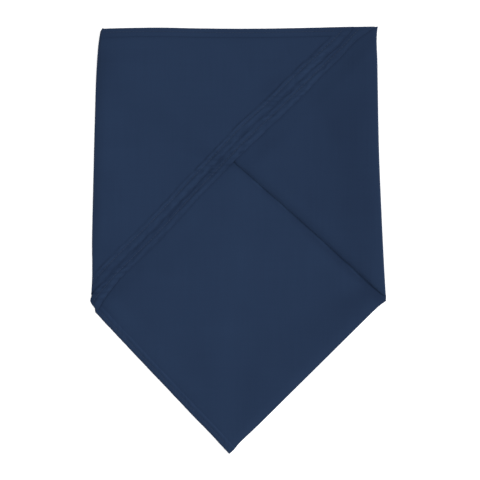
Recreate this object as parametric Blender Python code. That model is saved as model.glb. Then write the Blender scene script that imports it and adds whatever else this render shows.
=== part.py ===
"""A plain hemmed bandana, folded flat into a pointed pocket shape, as closed solids.

Metres, +Z up. The cloth lies on z = 0 with its point towards -Y, its hemmed top edge towards +Y and the
face that shows upwards. The origin is the middle of the underside of the whole bundle.

The cloth is a right-angled triangle, hemmed on its three sides. It is folded in half down its middle, so
that there are two plies. Then the right tip is folded in, and the left tip is folded in over it:

    folded_base      the two plies underneath, which show as the lower diamond
    right_flap       the two plies of the right tip, which show as the right triangle
    left_flap_under  the inner ply of the left tip, which shows as a hem along the diagonal
    left_flap_top    the outer ply of the left tip, which shows as the upper left triangle

Each solid is a pair of point grids, an outer face and an inner one, joined round the rim by a rounded edge.
"""

import math
from typing import NamedTuple

import bmesh
import bpy
import numpy as np

MM = 0.001
ROOT2 = math.sqrt(2)

# Thicknesses. A ply of a flap is one wall. Plies that lie pressed together share one.
GAP = 0.3 * MM
PLY_WALL = 1.0 * MM
PAIR_WALL = 1.3 * MM
BASE_WALL = 1.4 * MM
HEM_WIDTH = 7.0 * MM
HEM_RAISE = 0.25 * MM
HEM_SHOULDER = 0.9 * MM

# How far the back ply's bias hem lies inside the front ply's.
PLY_LAG = 11.6 * MM


class Spot(NamedTuple):
    """One place of an edge: at is measured along the edge's axis, off is across it."""

    at: float
    off: float


class Corner(NamedTuple):
    """A corner of the folded shape."""

    x: float
    y: float


POINT = Corner(x=-7.1 * MM, y=-176.8 * MM)
RIGHT_CORNER = Corner(x=122.2 * MM, y=-48.3 * MM)
LEFT_CORNER = Corner(x=-118.5 * MM, y=-58.6 * MM)
HIDDEN_TIP = Corner(x=-112.0 * MM, y=161.9 * MM)
TOP_RIGHT = Corner(x=115.0 * MM, y=176.9 * MM)

# The side folds: at is y, up the cloth, and off is the x of the fold there.
LEFT_FOLD = (
    Spot(at=-60 * MM, off=-121.3 * MM),
    Spot(at=0 * MM, off=-121.4 * MM),
    Spot(at=60 * MM, off=-120.3 * MM),
    Spot(at=113 * MM, off=-118.4 * MM),
    Spot(at=153 * MM, off=-116.7 * MM),
    Spot(at=178 * MM, off=-114.6 * MM),
)
RIGHT_FOLD = (
    Spot(at=-50 * MM, off=122.5 * MM),
    Spot(at=20 * MM, off=118.8 * MM),
    Spot(at=73 * MM, off=116.6 * MM),
    Spot(at=126 * MM, off=115.4 * MM),
    Spot(at=178 * MM, off=114.9 * MM),
)

# The hemmed top edge: at is x and off is the y of the edge there.
TOP_EDGE = (
    Spot(at=-116 * MM, off=175.5 * MM),
    Spot(at=-73 * MM, off=176.3 * MM),
    Spot(at=0 * MM, off=175.6 * MM),
    Spot(at=55 * MM, off=176.1 * MM),
    Spot(at=95 * MM, off=176.9 * MM),
    Spot(at=118 * MM, off=176.9 * MM),
)

# The left flap's hems run at 45 degrees. A place on the flap is t, up and to the right along the hem, and n,
# down and to the right across it. A bend's at is t, and its off is how far the hem bows out to +n.
UNDER_HEM_N = -68.2 * MM / ROOT2
UNDER_HEM_BEND = (
    Spot(at=-150 * MM, off=0 * MM),
    Spot(at=150 * MM, off=0 * MM),
    Spot(at=190 * MM, off=0.4 * MM),
    Spot(at=206 * MM, off=5.3 * MM),
    Spot(at=215 * MM, off=8.3 * MM),
)
TOP_HEM_BEND = (
    Spot(at=-150 * MM, off=0 * MM),
    Spot(at=80 * MM, off=0 * MM),
    Spot(at=160 * MM, off=3.6 * MM),
    Spot(at=192 * MM, off=2.3 * MM),
    Spot(at=215 * MM, off=2.3 * MM),
)
BEND_FADE = 40 * MM

# The left fold: the outer ply goes round in this radius, and the inner ply inside it.
WRAP_RADIUS = 2.0 * MM
WRAP_MIDDLE_Z = 2.0 * MM
WRAP_FOOT = 0.5 * MM
INNER_FOOT = 0.2 * MM
BULGE = 2.4 * MM
BULGE_END = 10.5 * MM
INNER_WALL_X = 2.3 * MM

# The right fold, which both plies of the right tip go round together.
PAIR_RADIUS = 1.5 * MM
PAIR_FOOT = 0.6 * MM
TIP_START = 4.0 * MM
# The fold reaches the floor only above the right corner, where the base's own corner shows under it.
REACH_START_Y = -43.8 * MM
REACH_LENGTH = 2.0 * MM
BASE_CORNER_HEIGHT = 3.8 * MM

# How the left flap comes down beside the right tip that it lies over: soon at its free edge, slowly inside.
EDGE_SETTLE = 12 * MM
INNER_SETTLE = 34 * MM
SETTLE_WIDENS = 70 * MM
SETTLE_MARGIN = 1.0 * MM
TOP_SETTLE_MARGIN = 5.0 * MM

# Rows of the left flap, as distances in from the under ply's hem edge, in millimetres.
UNDER_ONLY_ROWS = (0.5, 1.5, 4.0, 6.5, 7.6, 9.0, 10.0, 11.1)
BOTH_PLY_ROWS = (12.1, 13.1, 15.6, 18.1, 19.2, 25, 38, 52, 66, 80, 94, 108, 120, 130, 139, 146, 151, 154.5)
# Columns of the left flap: shares of the way that it settles over, and millimetres of t back from the top edge.
SETTLE_SHARES = (1.05, 0.8, 0.55, 0.3, 0.08)
TOP_COLUMNS = (13, 9.8, 8.2, 4.2, 0.9, 0)
LEFT_SHARES = (0, 0.05, 0.2, 0.4, 0.6, 0.8)
RIGHT_SHARES = (0.12, 0.27, 0.42, 0.57, 0.72, 0.87)
CLOSEST_COLUMNS = 0.9 * MM


class Turn(NamedTuple):
    """One place round the left fold, from the floor up: its angle, and how far the row has run down by there."""

    angle: float
    drop: float


LOWER_TURNS = (
    Turn(angle=90, drop=5.2 * MM),
    Turn(angle=45, drop=4.6 * MM),
    Turn(angle=0, drop=3.1 * MM),
)
UPPER_TURNS = (
    Turn(angle=60, drop=2.1 * MM),
    Turn(angle=30, drop=1.0 * MM),
)

# Rows of the base, as distances in from its hemmed lower left edge, in millimetres, up to the two corners.
BASE_HEM_ROWS = (0.5, 1.3, 4.0, 6.5, 7.6, 9.6, 11.8, 13.6, 20, 40, 65, 90, 115, 140)
BASE_TOP_SHARES = (0, 0.06, 0.3, 0.6, 0.9, 0.99)
BASE_COLUMNS = (0, 0.01, 0.04, 0.15, 0.35, 0.6, 0.8, 0.93, 1)
BASE_SIDE_STEPS = 12
BASE_TOP_STEPS = 14
# The base's hidden left side runs between these heights, inside the left flap's fold.
BASE_LEFT_START_Y = -52 * MM
BASE_LEFT_END_Y = 174 * MM
# A row falls on each corner of the base, and the next row is this much further in.
CORNER_ROW = 6 * MM
LAST_ROW = 2 * MM
FREE_PLY_TOP = 1.05 * MM
FREE_PLY_STEP = 2 * MM
# Where the two plies of an edge show as two layers: the base's top edge and the right tip's own top edge.
LAYERED_ABOVE_Y = 171 * MM
LAYERED_TIP_MARGIN = 2 * MM

# The right tip: shares of the way up it, and shares of the way from its clean edge to its fold.
TIP_ROWS = (0, 0.006, 0.017, 0.06, 0.14, 0.25, 0.4, 0.55, 0.7, 0.83, 0.92, 0.97, 1)
TIP_COLUMNS = (0, 0.01, 0.05, 0.15, 0.32, 0.5, 0.68, 0.84, 0.95, 0.99)
TIP_TURNS = (0, 30, 60, 90)
TIP_FEET = (45, 90)


class RimStep(NamedTuple):
    """One line of a rim: down is the share of the way to the inner face, and the others how far it stands out."""

    down: float
    folded: float
    layered: float


RIM = (
    RimStep(down=0.07, folded=0.50, layered=0.60),
    RimStep(down=0.27, folded=0.88, layered=1.00),
    RimStep(down=0.50, folded=1.00, layered=0.15),
    RimStep(down=0.73, folded=0.88, layered=1.00),
    RimStep(down=0.93, folded=0.50, layered=0.60),
)

CLOTH_COLOUR = (0.0210, 0.0395, 0.0860, 1.0)
CLOTH_ROUGHNESS = 0.9


def curve(spots, at):
    """The value at the given places of a smooth curve through the spots."""
    places = np.array([spot.at for spot in spots])
    values = np.array([spot.off for spot in spots])
    slopes = np.gradient(values, places)
    first = np.clip(np.searchsorted(places, at) - 1, 0, len(places) - 2)
    span = places[first + 1] - places[first]
    s = np.clip((at - places[first]) / span, 0, 1)
    start = (1 + 2 * s) * (1 - s) ** 2 * values[first] + s * (1 - s) ** 2 * span * slopes[first]
    end = s * s * (3 - 2 * s) * values[first + 1] + s * s * (s - 1) * span * slopes[first + 1]
    return start + end


def ease(share):
    """0 before 0, 1 after 1, and a smooth step between them."""
    s = np.clip(share, 0, 1)
    return s * s * (3 - 2 * s)


def hem(inside):
    """How far a hem raises the cloth at a distance in from the hemmed edge."""
    return HEM_RAISE * (1 - ease((inside - HEM_WIDTH + HEM_SHOULDER / 2) / HEM_SHOULDER))


# The left flap's own frame.


def row_bend(inside, t):
    """How far a row of the left flap bows out to +n, at a distance in from the under hem's edge."""
    share = np.clip(inside / PLY_LAG, 0, 1)
    bow = (1 - share) * curve(UNDER_HEM_BEND, t) + share * curve(TOP_HEM_BEND, t)
    return bow * (1 - ease((inside - PLY_LAG) / BEND_FADE))


def row_point(inside, t):
    """The x and y of a place on the left flap."""
    n = UNDER_HEM_N - inside + row_bend(inside, t)
    return (t + n) / ROOT2, (t - n) / ROOT2


def meet(inside, way_left):
    """Follows a row of the left flap to where way_left(x, y), the way that is left along it, is nought."""
    t = 0.0
    for _ in range(20):
        t += way_left(*row_point(inside, t))
    return t


def to_left_fold(x, y):
    """The way left along a row to where the left fold starts to turn down."""
    return ROOT2 * (curve(LEFT_FOLD, y) + WRAP_RADIUS - x)


def to_top_edge(x, y):
    """The way left along a row to the top edge's last column."""
    return ROOT2 * (curve(TOP_EDGE, x) - PLY_WALL / 2 - y)


def past_clean_edge(x, y):
    """How far a place lies outside the right tip's clean, folded edge."""
    run = (HIDDEN_TIP.x - RIGHT_CORNER.x, HIDDEN_TIP.y - RIGHT_CORNER.y)
    across = (x - RIGHT_CORNER.x) * run[1] - (y - RIGHT_CORNER.y) * run[0]
    return -across / math.hypot(*run)


def past_slanted_top(x, y):
    """How far a place lies above the right tip's own top edge, which slants down to the hidden tip."""
    run = (TOP_RIGHT.x - HIDDEN_TIP.x, TOP_RIGHT.y - HIDDEN_TIP.y)
    across = (x - HIDDEN_TIP.x) * run[1] - (y - HIDDEN_TIP.y) * run[0]
    return -across / math.hypot(*run)


# Heights. Each ply lies on the one below.


def settle_width(x, y):
    """How far beside the right tip the left flap takes to come down to the base."""
    inside = UNDER_HEM_N - (x - y) / ROOT2
    return EDGE_SETTLE + (INNER_SETTLE - EDGE_SETTLE) * ease(inside / SETTLE_WIDENS)


def support(x, y):
    """The height that the left flap lies on: the right tip, and the base beside it."""
    beside = np.maximum(past_clean_edge(x, y) - SETTLE_MARGIN, 0)
    above = np.maximum(past_slanted_top(x, y) - TOP_SETTLE_MARGIN, 0)
    lifted = 1 - ease(np.hypot(beside, above) / settle_width(x, y))
    return BASE_WALL + lifted * (GAP + PAIR_WALL)


def top_hem(x, y):
    """How far the top edge's hem raises the cloth."""
    return hem(curve(TOP_EDGE, x) - y)


def under_ply_bottom(x, y):
    """The height of the under ply's lower face."""
    return support(x, y) + GAP


def top_ply_bottom(x, y):
    """The height of the top ply's lower face, clear of the under ply's hem."""
    return under_ply_bottom(x, y) + PLY_WALL + top_hem(x, y) + GAP


def base_top(x, y):
    """The upper face of the base, which steps down to one ply and its hem along the lower left edge."""
    inside = from_lower_left(x, y)
    one_ply = FREE_PLY_TOP + hem(inside)
    return one_ply + (BASE_WALL - one_ply) * ease((inside - PLY_LAG) / FREE_PLY_STEP)


def from_lower_left(x, y):
    """How far a place lies in from the hemmed lower left edge."""
    run = (POINT.x - LEFT_CORNER.x, POINT.y - LEFT_CORNER.y)
    across = (y - LEFT_CORNER.y) * run[0] - (x - LEFT_CORNER.x) * run[1]
    return across / math.hypot(*run)


# Grids of points.


def flap_columns(inside):
    """The t of each column of one row of the left flap, from its fold to its top edge."""
    start = meet(inside, to_left_fold)
    end = meet(inside, to_top_edge)
    tip_edge = meet(inside, past_clean_edge)
    width = settle_width(*row_point(inside, tip_edge))
    settling = [tip_edge - share * width for share in SETTLE_SHARES]
    hemming = [end - step * MM for step in TOP_COLUMNS]
    left = [start + share * (settling[0] - start) for share in LEFT_SHARES]
    right = [settling[-1] + share * (hemming[0] - settling[-1]) for share in RIGHT_SHARES]
    wanted = np.array(left + settling + right + hemming)
    index = np.arange(len(wanted))
    step = min(CLOSEST_COLUMNS, 0.9 * (end - start) / index[-1])
    wanted = np.maximum(wanted, start + index * step)
    return np.minimum(wanted, end - index[::-1] * step)


def lean(y, turn):
    """How far the left fold leans sideways over the stretch that a row has run down by a turn."""
    return float(curve(LEFT_FOLD, y - turn.drop) - curve(LEFT_FOLD, y))


def wrap_path(start, fold_x, foot):
    """The left fold from the floor up to the flap's first column, which starts at the given x, y and z."""
    x, y, z = start
    path = []
    for turn in LOWER_TURNS:
        angle = math.radians(turn.angle)
        out = fold_x + foot * (1 - math.cos(angle)) + lean(y, turn)
        path.append((out, y - turn.drop, WRAP_MIDDLE_Z * (1 - math.sin(angle))))
    for turn in UPPER_TURNS:
        angle = math.radians(turn.angle)
        out = x - (x - fold_x) * math.sin(angle) + lean(y, turn)
        path.append((out, y - turn.drop, WRAP_MIDDLE_Z + (z - WRAP_MIDDLE_Z) * math.cos(angle)))
    return path


def wall_path(start, wall_x):
    """The plain inner face of the under ply at the fold, from the floor up to the given x, y and z."""
    turns = LOWER_TURNS + UPPER_TURNS
    levels = np.linspace(0, start[2], len(turns) + 1)
    y = start[1]
    return [(wall_x + lean(y, turn), y - turn.drop, level) for turn, level in zip(turns, levels)]


def flap_row(inside, under):
    """The outer and the inner points of one row of a ply of the left flap, from the floor round to the top."""
    x, y = row_point(inside, flap_columns(inside))
    fold_x = x[0] - WRAP_RADIUS
    inner_x = x.copy()
    if under:
        inner_z = under_ply_bottom(x, y)
        outer_z = inner_z + PLY_WALL + np.maximum(top_hem(x, y), hem(inside))
        inner_x[0] = fold_x + INNER_WALL_X
        bulge = BULGE if inside < BULGE_END else 0
        outer_wrap = wrap_path((x[0], y[0], outer_z[0]), fold_x + PLY_WALL + GAP - bulge, INNER_FOOT)
        inner_wrap = wall_path((x[0], y[0], inner_z[0]), inner_x[0])
    else:
        inner_z = top_ply_bottom(x, y)
        outer_z = inner_z + PLY_WALL + np.maximum(top_hem(x, y), hem(inside - PLY_LAG))
        outer_wrap = wrap_path((x[0], y[0], outer_z[0]), fold_x, WRAP_FOOT)
        inner_wrap = wrap_path((x[0], y[0], inner_z[0]), fold_x + PLY_WALL, 0)
    outer = outer_wrap + list(zip(x, y, outer_z))
    inner = inner_wrap + list(zip(inner_x, y, inner_z))
    return outer, inner


def left_flap_grids(rows, under):
    """The outer and the inner grid of a ply of the left flap."""
    pairs = [flap_row(inside * MM, under) for inside in rows]
    return np.array([outer for outer, _ in pairs]), np.array([inner for _, inner in pairs])


def tip_row(share):
    """The outer and the inner points of one row of the right tip, from its clean edge round its fold."""
    nose = PAIR_WALL / 2
    run = np.array([HIDDEN_TIP.x - RIGHT_CORNER.x, HIDDEN_TIP.y - RIGHT_CORNER.y])
    length = math.hypot(*run)
    inward = np.array([run[1], -run[0]]) / length
    along = TIP_START + (length - TIP_START - nose) * share
    clean = np.array(RIGHT_CORNER) + run / length * along + inward * nose
    top_y = TOP_RIGHT.y - 2 * nose
    start_y = RIGHT_CORNER.y + run[1] / length * TIP_START + inward[1] * nose
    fold_y = start_y + (top_y - start_y) * share
    fold_x = float(curve(RIGHT_FOLD, fold_y))
    turn_x = fold_x - PAIR_RADIUS
    columns = np.array(TIP_COLUMNS)
    x = clean[0] + (turn_x - clean[0]) * columns
    y = clean[1] + (fold_y - clean[1]) * columns
    bottom = BASE_WALL + GAP
    top = bottom + PAIR_WALL
    reach = float(ease((fold_y - REACH_START_Y) / REACH_LENGTH))
    foot_z = bottom * (1 - reach)
    middle = (top - foot_z) / 2
    turns = [math.radians(angle) for angle in TIP_TURNS]
    feet = [math.radians(angle) for angle in TIP_FEET]
    outer_wrap = [(turn_x + PAIR_RADIUS * math.sin(a), foot_z + middle * (1 + math.cos(a))) for a in turns]
    outer_wrap += [(fold_x - PAIR_FOOT * (1 - math.cos(a)), foot_z + middle * (1 - math.sin(a))) for a in feet]
    steps = np.arange(1, len(outer_wrap) + 1) / len(outer_wrap)
    inner_wrap = [
        (fold_x - PAIR_WALL + PAIR_FOOT * (1 - reach) * step, bottom - reach * bottom * step) for step in steps
    ]
    outer = [(a, b, top) for a, b in zip(x, y)] + [(px, fold_y, pz) for px, pz in outer_wrap]
    inner = [(a, b, bottom) for a, b in zip(x, y)] + [(px, fold_y, pz) for px, pz in inner_wrap]
    return outer, inner


def right_flap_grids():
    """The outer and the inner grid of the right tip."""
    pairs = [tip_row(share) for share in TIP_ROWS]
    return np.array([outer for outer, _ in pairs]), np.array([inner for _, inner in pairs])


def base_sides():
    """Two lines of points round the base, each from its lower left edge to its top right corner."""
    nose = BASE_WALL / 2
    heights = np.linspace(BASE_LEFT_START_Y, BASE_LEFT_END_Y, BASE_SIDE_STEPS)
    hidden_left = INNER_WALL_X + GAP + nose
    left = [(float(curve(LEFT_FOLD, y)) + hidden_left, y) for y in heights]
    top_right = float(curve(RIGHT_FOLD, TOP_RIGHT.y)) - PAIR_WALL - GAP - nose
    across = np.linspace(left[-1][0], top_right, BASE_TOP_STEPS)
    top = [(x, float(curve(TOP_EDGE, x)) - 2 * nose) for x in across]
    start = [(LEFT_CORNER.x + nose, LEFT_CORNER.y)] + left[:-1] + top
    edge = (RIGHT_CORNER.x - POINT.x, RIGHT_CORNER.y - POINT.y)
    inward = (-edge[1] * nose / math.hypot(*edge), edge[0] * nose / math.hypot(*edge))
    low = [(POINT.x + inward[0], POINT.y + inward[1]), (RIGHT_CORNER.x + inward[0], RIGHT_CORNER.y + inward[1])]
    heights = np.linspace(RIGHT_CORNER.y + BASE_CORNER_HEIGHT, top[-1][1], BASE_SIDE_STEPS)
    right = [(float(curve(RIGHT_FOLD, y)) - PAIR_WALL - GAP - nose, y) for y in heights]
    return np.array(start), np.array(low + right)


def base_grids():
    """The outer and the inner grid of the base."""
    start, end = base_sides()
    start_inside = from_lower_left(start[:, 0], start[:, 1])
    end_inside = from_lower_left(end[:, 0], end[:, 1])
    last = min(start_inside[-1], end_inside[-1]) - LAST_ROW
    top_left = float(start_inside[BASE_SIDE_STEPS])
    right_corner, past_corner = end_inside[1:3]
    corners = [top_left - CORNER_ROW, top_left, right_corner, past_corner]
    first = past_corner + CORNER_ROW
    above = [first + (last - first) * share for share in BASE_TOP_SHARES]
    rows = np.array([inside * MM for inside in BASE_HEM_ROWS] + corners + above + [last])
    columns = np.array(BASE_COLUMNS)[None, :, None]
    left = np.stack([np.interp(rows, start_inside, start[:, k]) for k in range(2)], axis=1)[:, None]
    right = np.stack([np.interp(rows, end_inside, end[:, k]) for k in range(2)], axis=1)[:, None]
    flat = left + (right - left) * columns
    top = base_top(flat[..., 0], flat[..., 1])
    outer = np.concatenate([flat, top[..., None]], axis=2)
    inner = np.concatenate([flat, np.zeros_like(top)[..., None]], axis=2)
    return outer, inner


# Solids.


def rim_places(rows, columns):
    """The grid places round the rim, anticlockwise from above."""
    bottom = [(0, j) for j in range(columns - 1)]
    right = [(i, columns - 1) for i in range(rows - 1)]
    top = [(rows - 1, j) for j in range(columns - 1, 0, -1)]
    left = [(i, 0) for i in range(rows - 1, 0, -1)]
    return bottom + right + top + left


def unit(vector):
    """The vector at length one, or as it is if it has no length."""
    length = np.linalg.norm(vector)
    return vector / length if length > 0 else vector


def outward_steps(grid, places, floor_column):
    """For each place of the rim, the way that the rim stands out there, level with the face beside it.

    The rim stays plain along the floor column, where a fold comes down to the floor.
    """
    count = len(places)
    points = [grid[place] for place in places]
    rows, columns = grid.shape[:2]
    sides = []
    for k, (i, j) in enumerate(places):
        edge = points[(k + 1) % count] - points[k]
        a = min(max(i, 0), rows - 2)
        b = min(max(j, 0), columns - 2)
        face = np.cross(grid[a, b + 1] - grid[a, b], grid[a + 1, b] - grid[a, b])
        plain = j == floor_column and places[(k + 1) % count][1] == floor_column
        sides.append(np.zeros(3) if plain else unit(np.cross(edge, face)))
    steps = []
    for k in range(count):
        before = sides[k - 1]
        after = sides[k]
        steps.append((before + after) / (1 + max(float(before @ after), -0.3)))
    return np.array(steps)


def solid(name, grids, nose, floor_column=None, layered=None):
    """Builds one closed solid from its outer and inner grids.

    nose is how far the rim stands out, floor_column is the column whose rim stays plain, and layered(x, y)
    says where the rim shows two plies.
    """
    outer, inner = grids
    rows, columns = outer.shape[:2]
    places = rim_places(rows, columns)
    outward = outward_steps(outer, places, floor_column)
    mesh = bmesh.new()
    upper = [[mesh.verts.new(point) for point in line] for line in outer]
    lower = [[mesh.verts.new(point) for point in line] for line in inner]
    for i in range(rows - 1):
        for j in range(columns - 1):
            mesh.faces.new((upper[i][j], upper[i][j + 1], upper[i + 1][j + 1], upper[i + 1][j]))
            mesh.faces.new((lower[i][j], lower[i + 1][j], lower[i + 1][j + 1], lower[i][j + 1]))
    loops = [[upper[i][j] for i, j in places]]
    for step in RIM:
        loop = []
        for (i, j), way in zip(places, outward):
            push = step.layered if layered and layered(*outer[i, j][:2]) else step.folded
            point = outer[i, j] + (inner[i, j] - outer[i, j]) * step.down + way * nose * push
            point[2] = max(point[2], 0)
            loop.append(mesh.verts.new(point))
        loops.append(loop)
    loops.append([lower[i][j] for i, j in places])
    for above, below in zip(loops, loops[1:]):
        for k in range(len(places)):
            after = (k + 1) % len(places)
            mesh.faces.new((below[k], below[after], above[after], above[k]))
    bmesh.ops.triangulate(mesh, faces=mesh.faces[:], quad_method="FIXED")
    data = bpy.data.meshes.new(name)
    mesh.to_mesh(data)
    mesh.free()
    data.shade_smooth()
    data.set_sharp_from_angle(angle=math.radians(50))
    data.materials.append(cloth_material(name))
    piece = bpy.data.objects.new(name, data)
    bpy.context.scene.collection.objects.link(piece)


def cloth_material(name):
    """Navy cotton, one material for each solid."""
    material = bpy.data.materials.new(name + "_cloth")
    material.use_nodes = True
    shader = material.node_tree.nodes["Principled BSDF"]
    shader.inputs["Base Color"].default_value = CLOTH_COLOUR
    shader.inputs["Roughness"].default_value = CLOTH_ROUGHNESS
    shader.inputs["Metallic"].default_value = 0.0
    material.diffuse_color = CLOTH_COLOUR
    return material


def clear_scene():
    """Removes whatever the file starts with."""
    for thing in list(bpy.data.objects):
        bpy.data.objects.remove(thing, do_unlink=True)


def folded_base():
    """The two plies underneath."""
    solid("folded_base", base_grids(), BASE_WALL / 2, layered=lambda x, y: y > LAYERED_ABOVE_Y)


def right_flap():
    """The two plies of the right tip, folded in."""
    grids = right_flap_grids()
    last = grids[0].shape[1] - 1
    solid(
        "right_flap", grids, PAIR_WALL / 2, last, lambda x, y: past_slanted_top(x, y) > -LAYERED_TIP_MARGIN
    )


def left_flap_under():
    """The inner ply of the left tip."""
    solid("left_flap_under", left_flap_grids(UNDER_ONLY_ROWS + BOTH_PLY_ROWS, True), PLY_WALL / 2, 0)


def left_flap_top():
    """The outer ply of the left tip."""
    solid("left_flap_top", left_flap_grids(BOTH_PLY_ROWS, False), PLY_WALL / 2, 0)


def main():
    clear_scene()
    folded_base()
    right_flap()
    left_flap_under()
    left_flap_top()


main()
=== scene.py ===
"""A plain navy bandana, hemmed on its three sides and folded flat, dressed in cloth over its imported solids.

Metres, +Z up. The cloth lies on z = 0 with its point towards -Y and its hemmed top edge towards +Y. Each
solid of the frame is stood for by one thin closed sheet of cloth, with its hems, puckers and soft creases,
and the topstitching is made as separate threads along the hems.
"""

import logging
import math
from collections.abc import Mapping, Sequence
from dataclasses import dataclass, field, replace
from enum import Enum, IntEnum
from typing import Any, NamedTuple

import bpy
import numpy as np
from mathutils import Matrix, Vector


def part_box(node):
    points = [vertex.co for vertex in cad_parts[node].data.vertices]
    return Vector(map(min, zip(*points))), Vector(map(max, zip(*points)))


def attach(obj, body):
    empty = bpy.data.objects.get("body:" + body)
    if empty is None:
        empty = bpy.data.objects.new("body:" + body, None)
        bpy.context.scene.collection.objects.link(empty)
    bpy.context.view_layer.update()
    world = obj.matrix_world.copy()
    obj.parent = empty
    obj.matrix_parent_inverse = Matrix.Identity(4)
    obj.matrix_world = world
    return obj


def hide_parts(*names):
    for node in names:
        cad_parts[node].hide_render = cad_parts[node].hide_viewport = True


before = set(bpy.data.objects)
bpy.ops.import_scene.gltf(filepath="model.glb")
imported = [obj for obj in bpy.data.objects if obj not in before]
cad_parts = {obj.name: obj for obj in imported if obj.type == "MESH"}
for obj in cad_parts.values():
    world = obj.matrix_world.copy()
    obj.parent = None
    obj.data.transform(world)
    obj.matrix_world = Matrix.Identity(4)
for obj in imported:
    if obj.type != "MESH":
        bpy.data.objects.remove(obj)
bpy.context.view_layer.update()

LOG = logging.getLogger("bandana")
MM = 0.001
ROOT2 = math.sqrt(2)
BODY = "root"

HEM_STEP = 0.36 * MM
FLAT_STEP = 2.6 * MM
FINE_ROWS = 12 * MM
# The relief height that counts as one unit of painted shade: ridges are painted paler and hollows darker.
RELIEF_PER_PAINTED_SHADE = 0.5 * MM
STITCH_STEP = 0.5 * MM
EXTRA_ROWS = 4
ROW_SPREAD = 0.6
TINY = 1e-15

Array = np.ndarray
Material = bpy.types.Material
Piece = bpy.types.Object


class Seed(IntEnum):
    """The seeds of the cloth's random lines and fields."""

    BASE_SWELL = 3
    TOP_SWELL = 5
    RIGHT_SWELL = 9
    UNDER_HEM = 11
    TOP_BIAS_HEM = 31
    PLY_STEP = 41
    TOP_HEM = 71
    BASE_HEM = 131
    UNDER_WANDER = 301
    TOP_WANDER = 302
    SLIT = 303
    CLEAN_EDGE = 305


# --- Lines, noise and steps ---


class Spot(NamedTuple):
    """One place of a smooth line: how far along its axis it is, and how far off it."""

    at: float
    off: float


class Corner(NamedTuple):
    """A corner of the folded bundle, seen from above."""

    x: float
    y: float


def ease(share: Array) -> Array:
    """A smooth step, 0 before 0 and 1 after 1."""
    s = np.clip(share, 0, 1)
    return s * s * (3 - 2 * s)


def bump(distance: Array, width: float) -> Array:
    """A soft bump, 1 where distance is nought, that fades over width to either side."""
    return np.exp(-((distance / width) ** 2))


def along_line(start: Corner, end: Corner, x: Array, y: Array) -> Array:
    """How far places lie along the line from start to end."""
    run = Corner(end.x - start.x, end.y - start.y)
    return ((x - start.x) * run.x + (y - start.y) * run.y) / math.hypot(*run)


def beside_line(start: Corner, end: Corner, x: Array, y: Array) -> Array:
    """How far places lie to the left of the line from start to end."""
    run = Corner(end.x - start.x, end.y - start.y)
    return ((y - start.y) * run.x - (x - start.x) * run.y) / math.hypot(*run)


def direction(start: Corner, end: Corner) -> Array:
    """The direction from start to end, one unit long."""
    run = np.array(end) - np.array(start)
    return run / np.linalg.norm(run)


@dataclass(frozen=True)
class SmoothLine:
    """A smooth line through a few spots.

    Args:
        spots: the spots, in order along the axis.
    """

    spots: tuple[Spot, ...]

    def __call__(self, at: Array | float) -> Array:
        """Gives how far the line is off its axis.

        Args:
            at: places along the axis.

        Returns:
            The line's offset at each place.
        """
        places = np.array([spot.at for spot in self.spots])
        values = np.array([spot.off for spot in self.spots])
        slopes = np.gradient(values, places)
        first = np.clip(np.searchsorted(places, at) - 1, 0, len(places) - 2)
        span = places[first + 1] - places[first]
        s = np.clip((at - places[first]) / span, 0, 1)
        start = (1 + 2 * s) * (1 - s) ** 2 * values[first] + s * (1 - s) ** 2 * span * slopes[first]
        end = s * s * (3 - 2 * s) * values[first + 1] + s * s * (s - 1) * span * slopes[first + 1]
        return start + end


def line_in_mm(*spots: tuple[float, float]) -> SmoothLine:
    """A smooth line through spots that are each given as (at, off), in millimetres."""
    return SmoothLine(tuple(Spot(at=at * MM, off=off * MM) for at, off in spots))


@dataclass(frozen=True)
class Wobble:
    """A smooth random line between -1 and 1, always the same for the same seed.

    Args:
        seed: the seed of its random values.
        pitch: the distance between two of its values.
    """

    seed: int
    pitch: float

    def __call__(self, at: Array) -> Array:
        """Gives the line's value.

        Args:
            at: places along the line.

        Returns:
            One value for each place.
        """
        count = 1024
        values = np.random.default_rng(self.seed).uniform(-1, 1, count)
        place = np.asarray(at) / self.pitch + count / 2
        first = np.floor(place).astype(int)
        share = ease(place - first)
        return values[first % count] * (1 - share) + values[(first + 1) % count] * share


class Uneven(NamedTuple):
    """How much something changes along a line, and the distance over which it changes."""

    swing: float
    pitch: float

    def __call__(self, seed: int, along: Array) -> Array:
        """The change at some places along the line."""
        return self.swing * Wobble(seed, self.pitch)(along)


class Ramp(NamedTuple):
    """A smooth rise from 0 to a height, over a run from a start; with a negative run it falls to 0 there."""

    start: float
    run: float
    height: float = 1.0

    def __call__(self, at: Array) -> Array:
        """How high it is at some places."""
        return self.height * ease((at - self.start) / self.run)


class Mound(NamedTuple):
    """A soft mound across a line: its height, how far beside the line it is highest, and its width."""

    height: float
    at: float
    width: float

    def __call__(self, across: Array) -> Array:
        """How high it is at some distances from the line."""
        return self.height * bump(across - self.at, self.width)


@dataclass(frozen=True)
class Billow:
    """A smooth random field between -1 and 1 over the flat cloth.

    Args:
        seed: the seed of its random values.
        pitch: the distance between two of its values.
    """

    seed: int
    pitch: float

    def __call__(self, x: Array, y: Array) -> Array:
        """Gives the field's value.

        Args:
            x: places across the bundle.
            y: places along it.

        Returns:
            One value for each place.
        """
        count = 64
        values = np.random.default_rng(self.seed).uniform(-1, 1, (count, count))
        across, along = x / self.pitch + count / 2, y / self.pitch + count / 2
        column, row = np.floor(across).astype(int), np.floor(along).astype(int)
        a, b = ease(across - column), ease(along - row)
        left, right = column % count, (column + 1) % count
        low, high = (
            values[line % count, left] * (1 - a) + values[line % count, right] * a for line in (row, row + 1)
        )
        return low * (1 - b) + high * b


# --- The folded bundle's outline and heights ---


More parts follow.
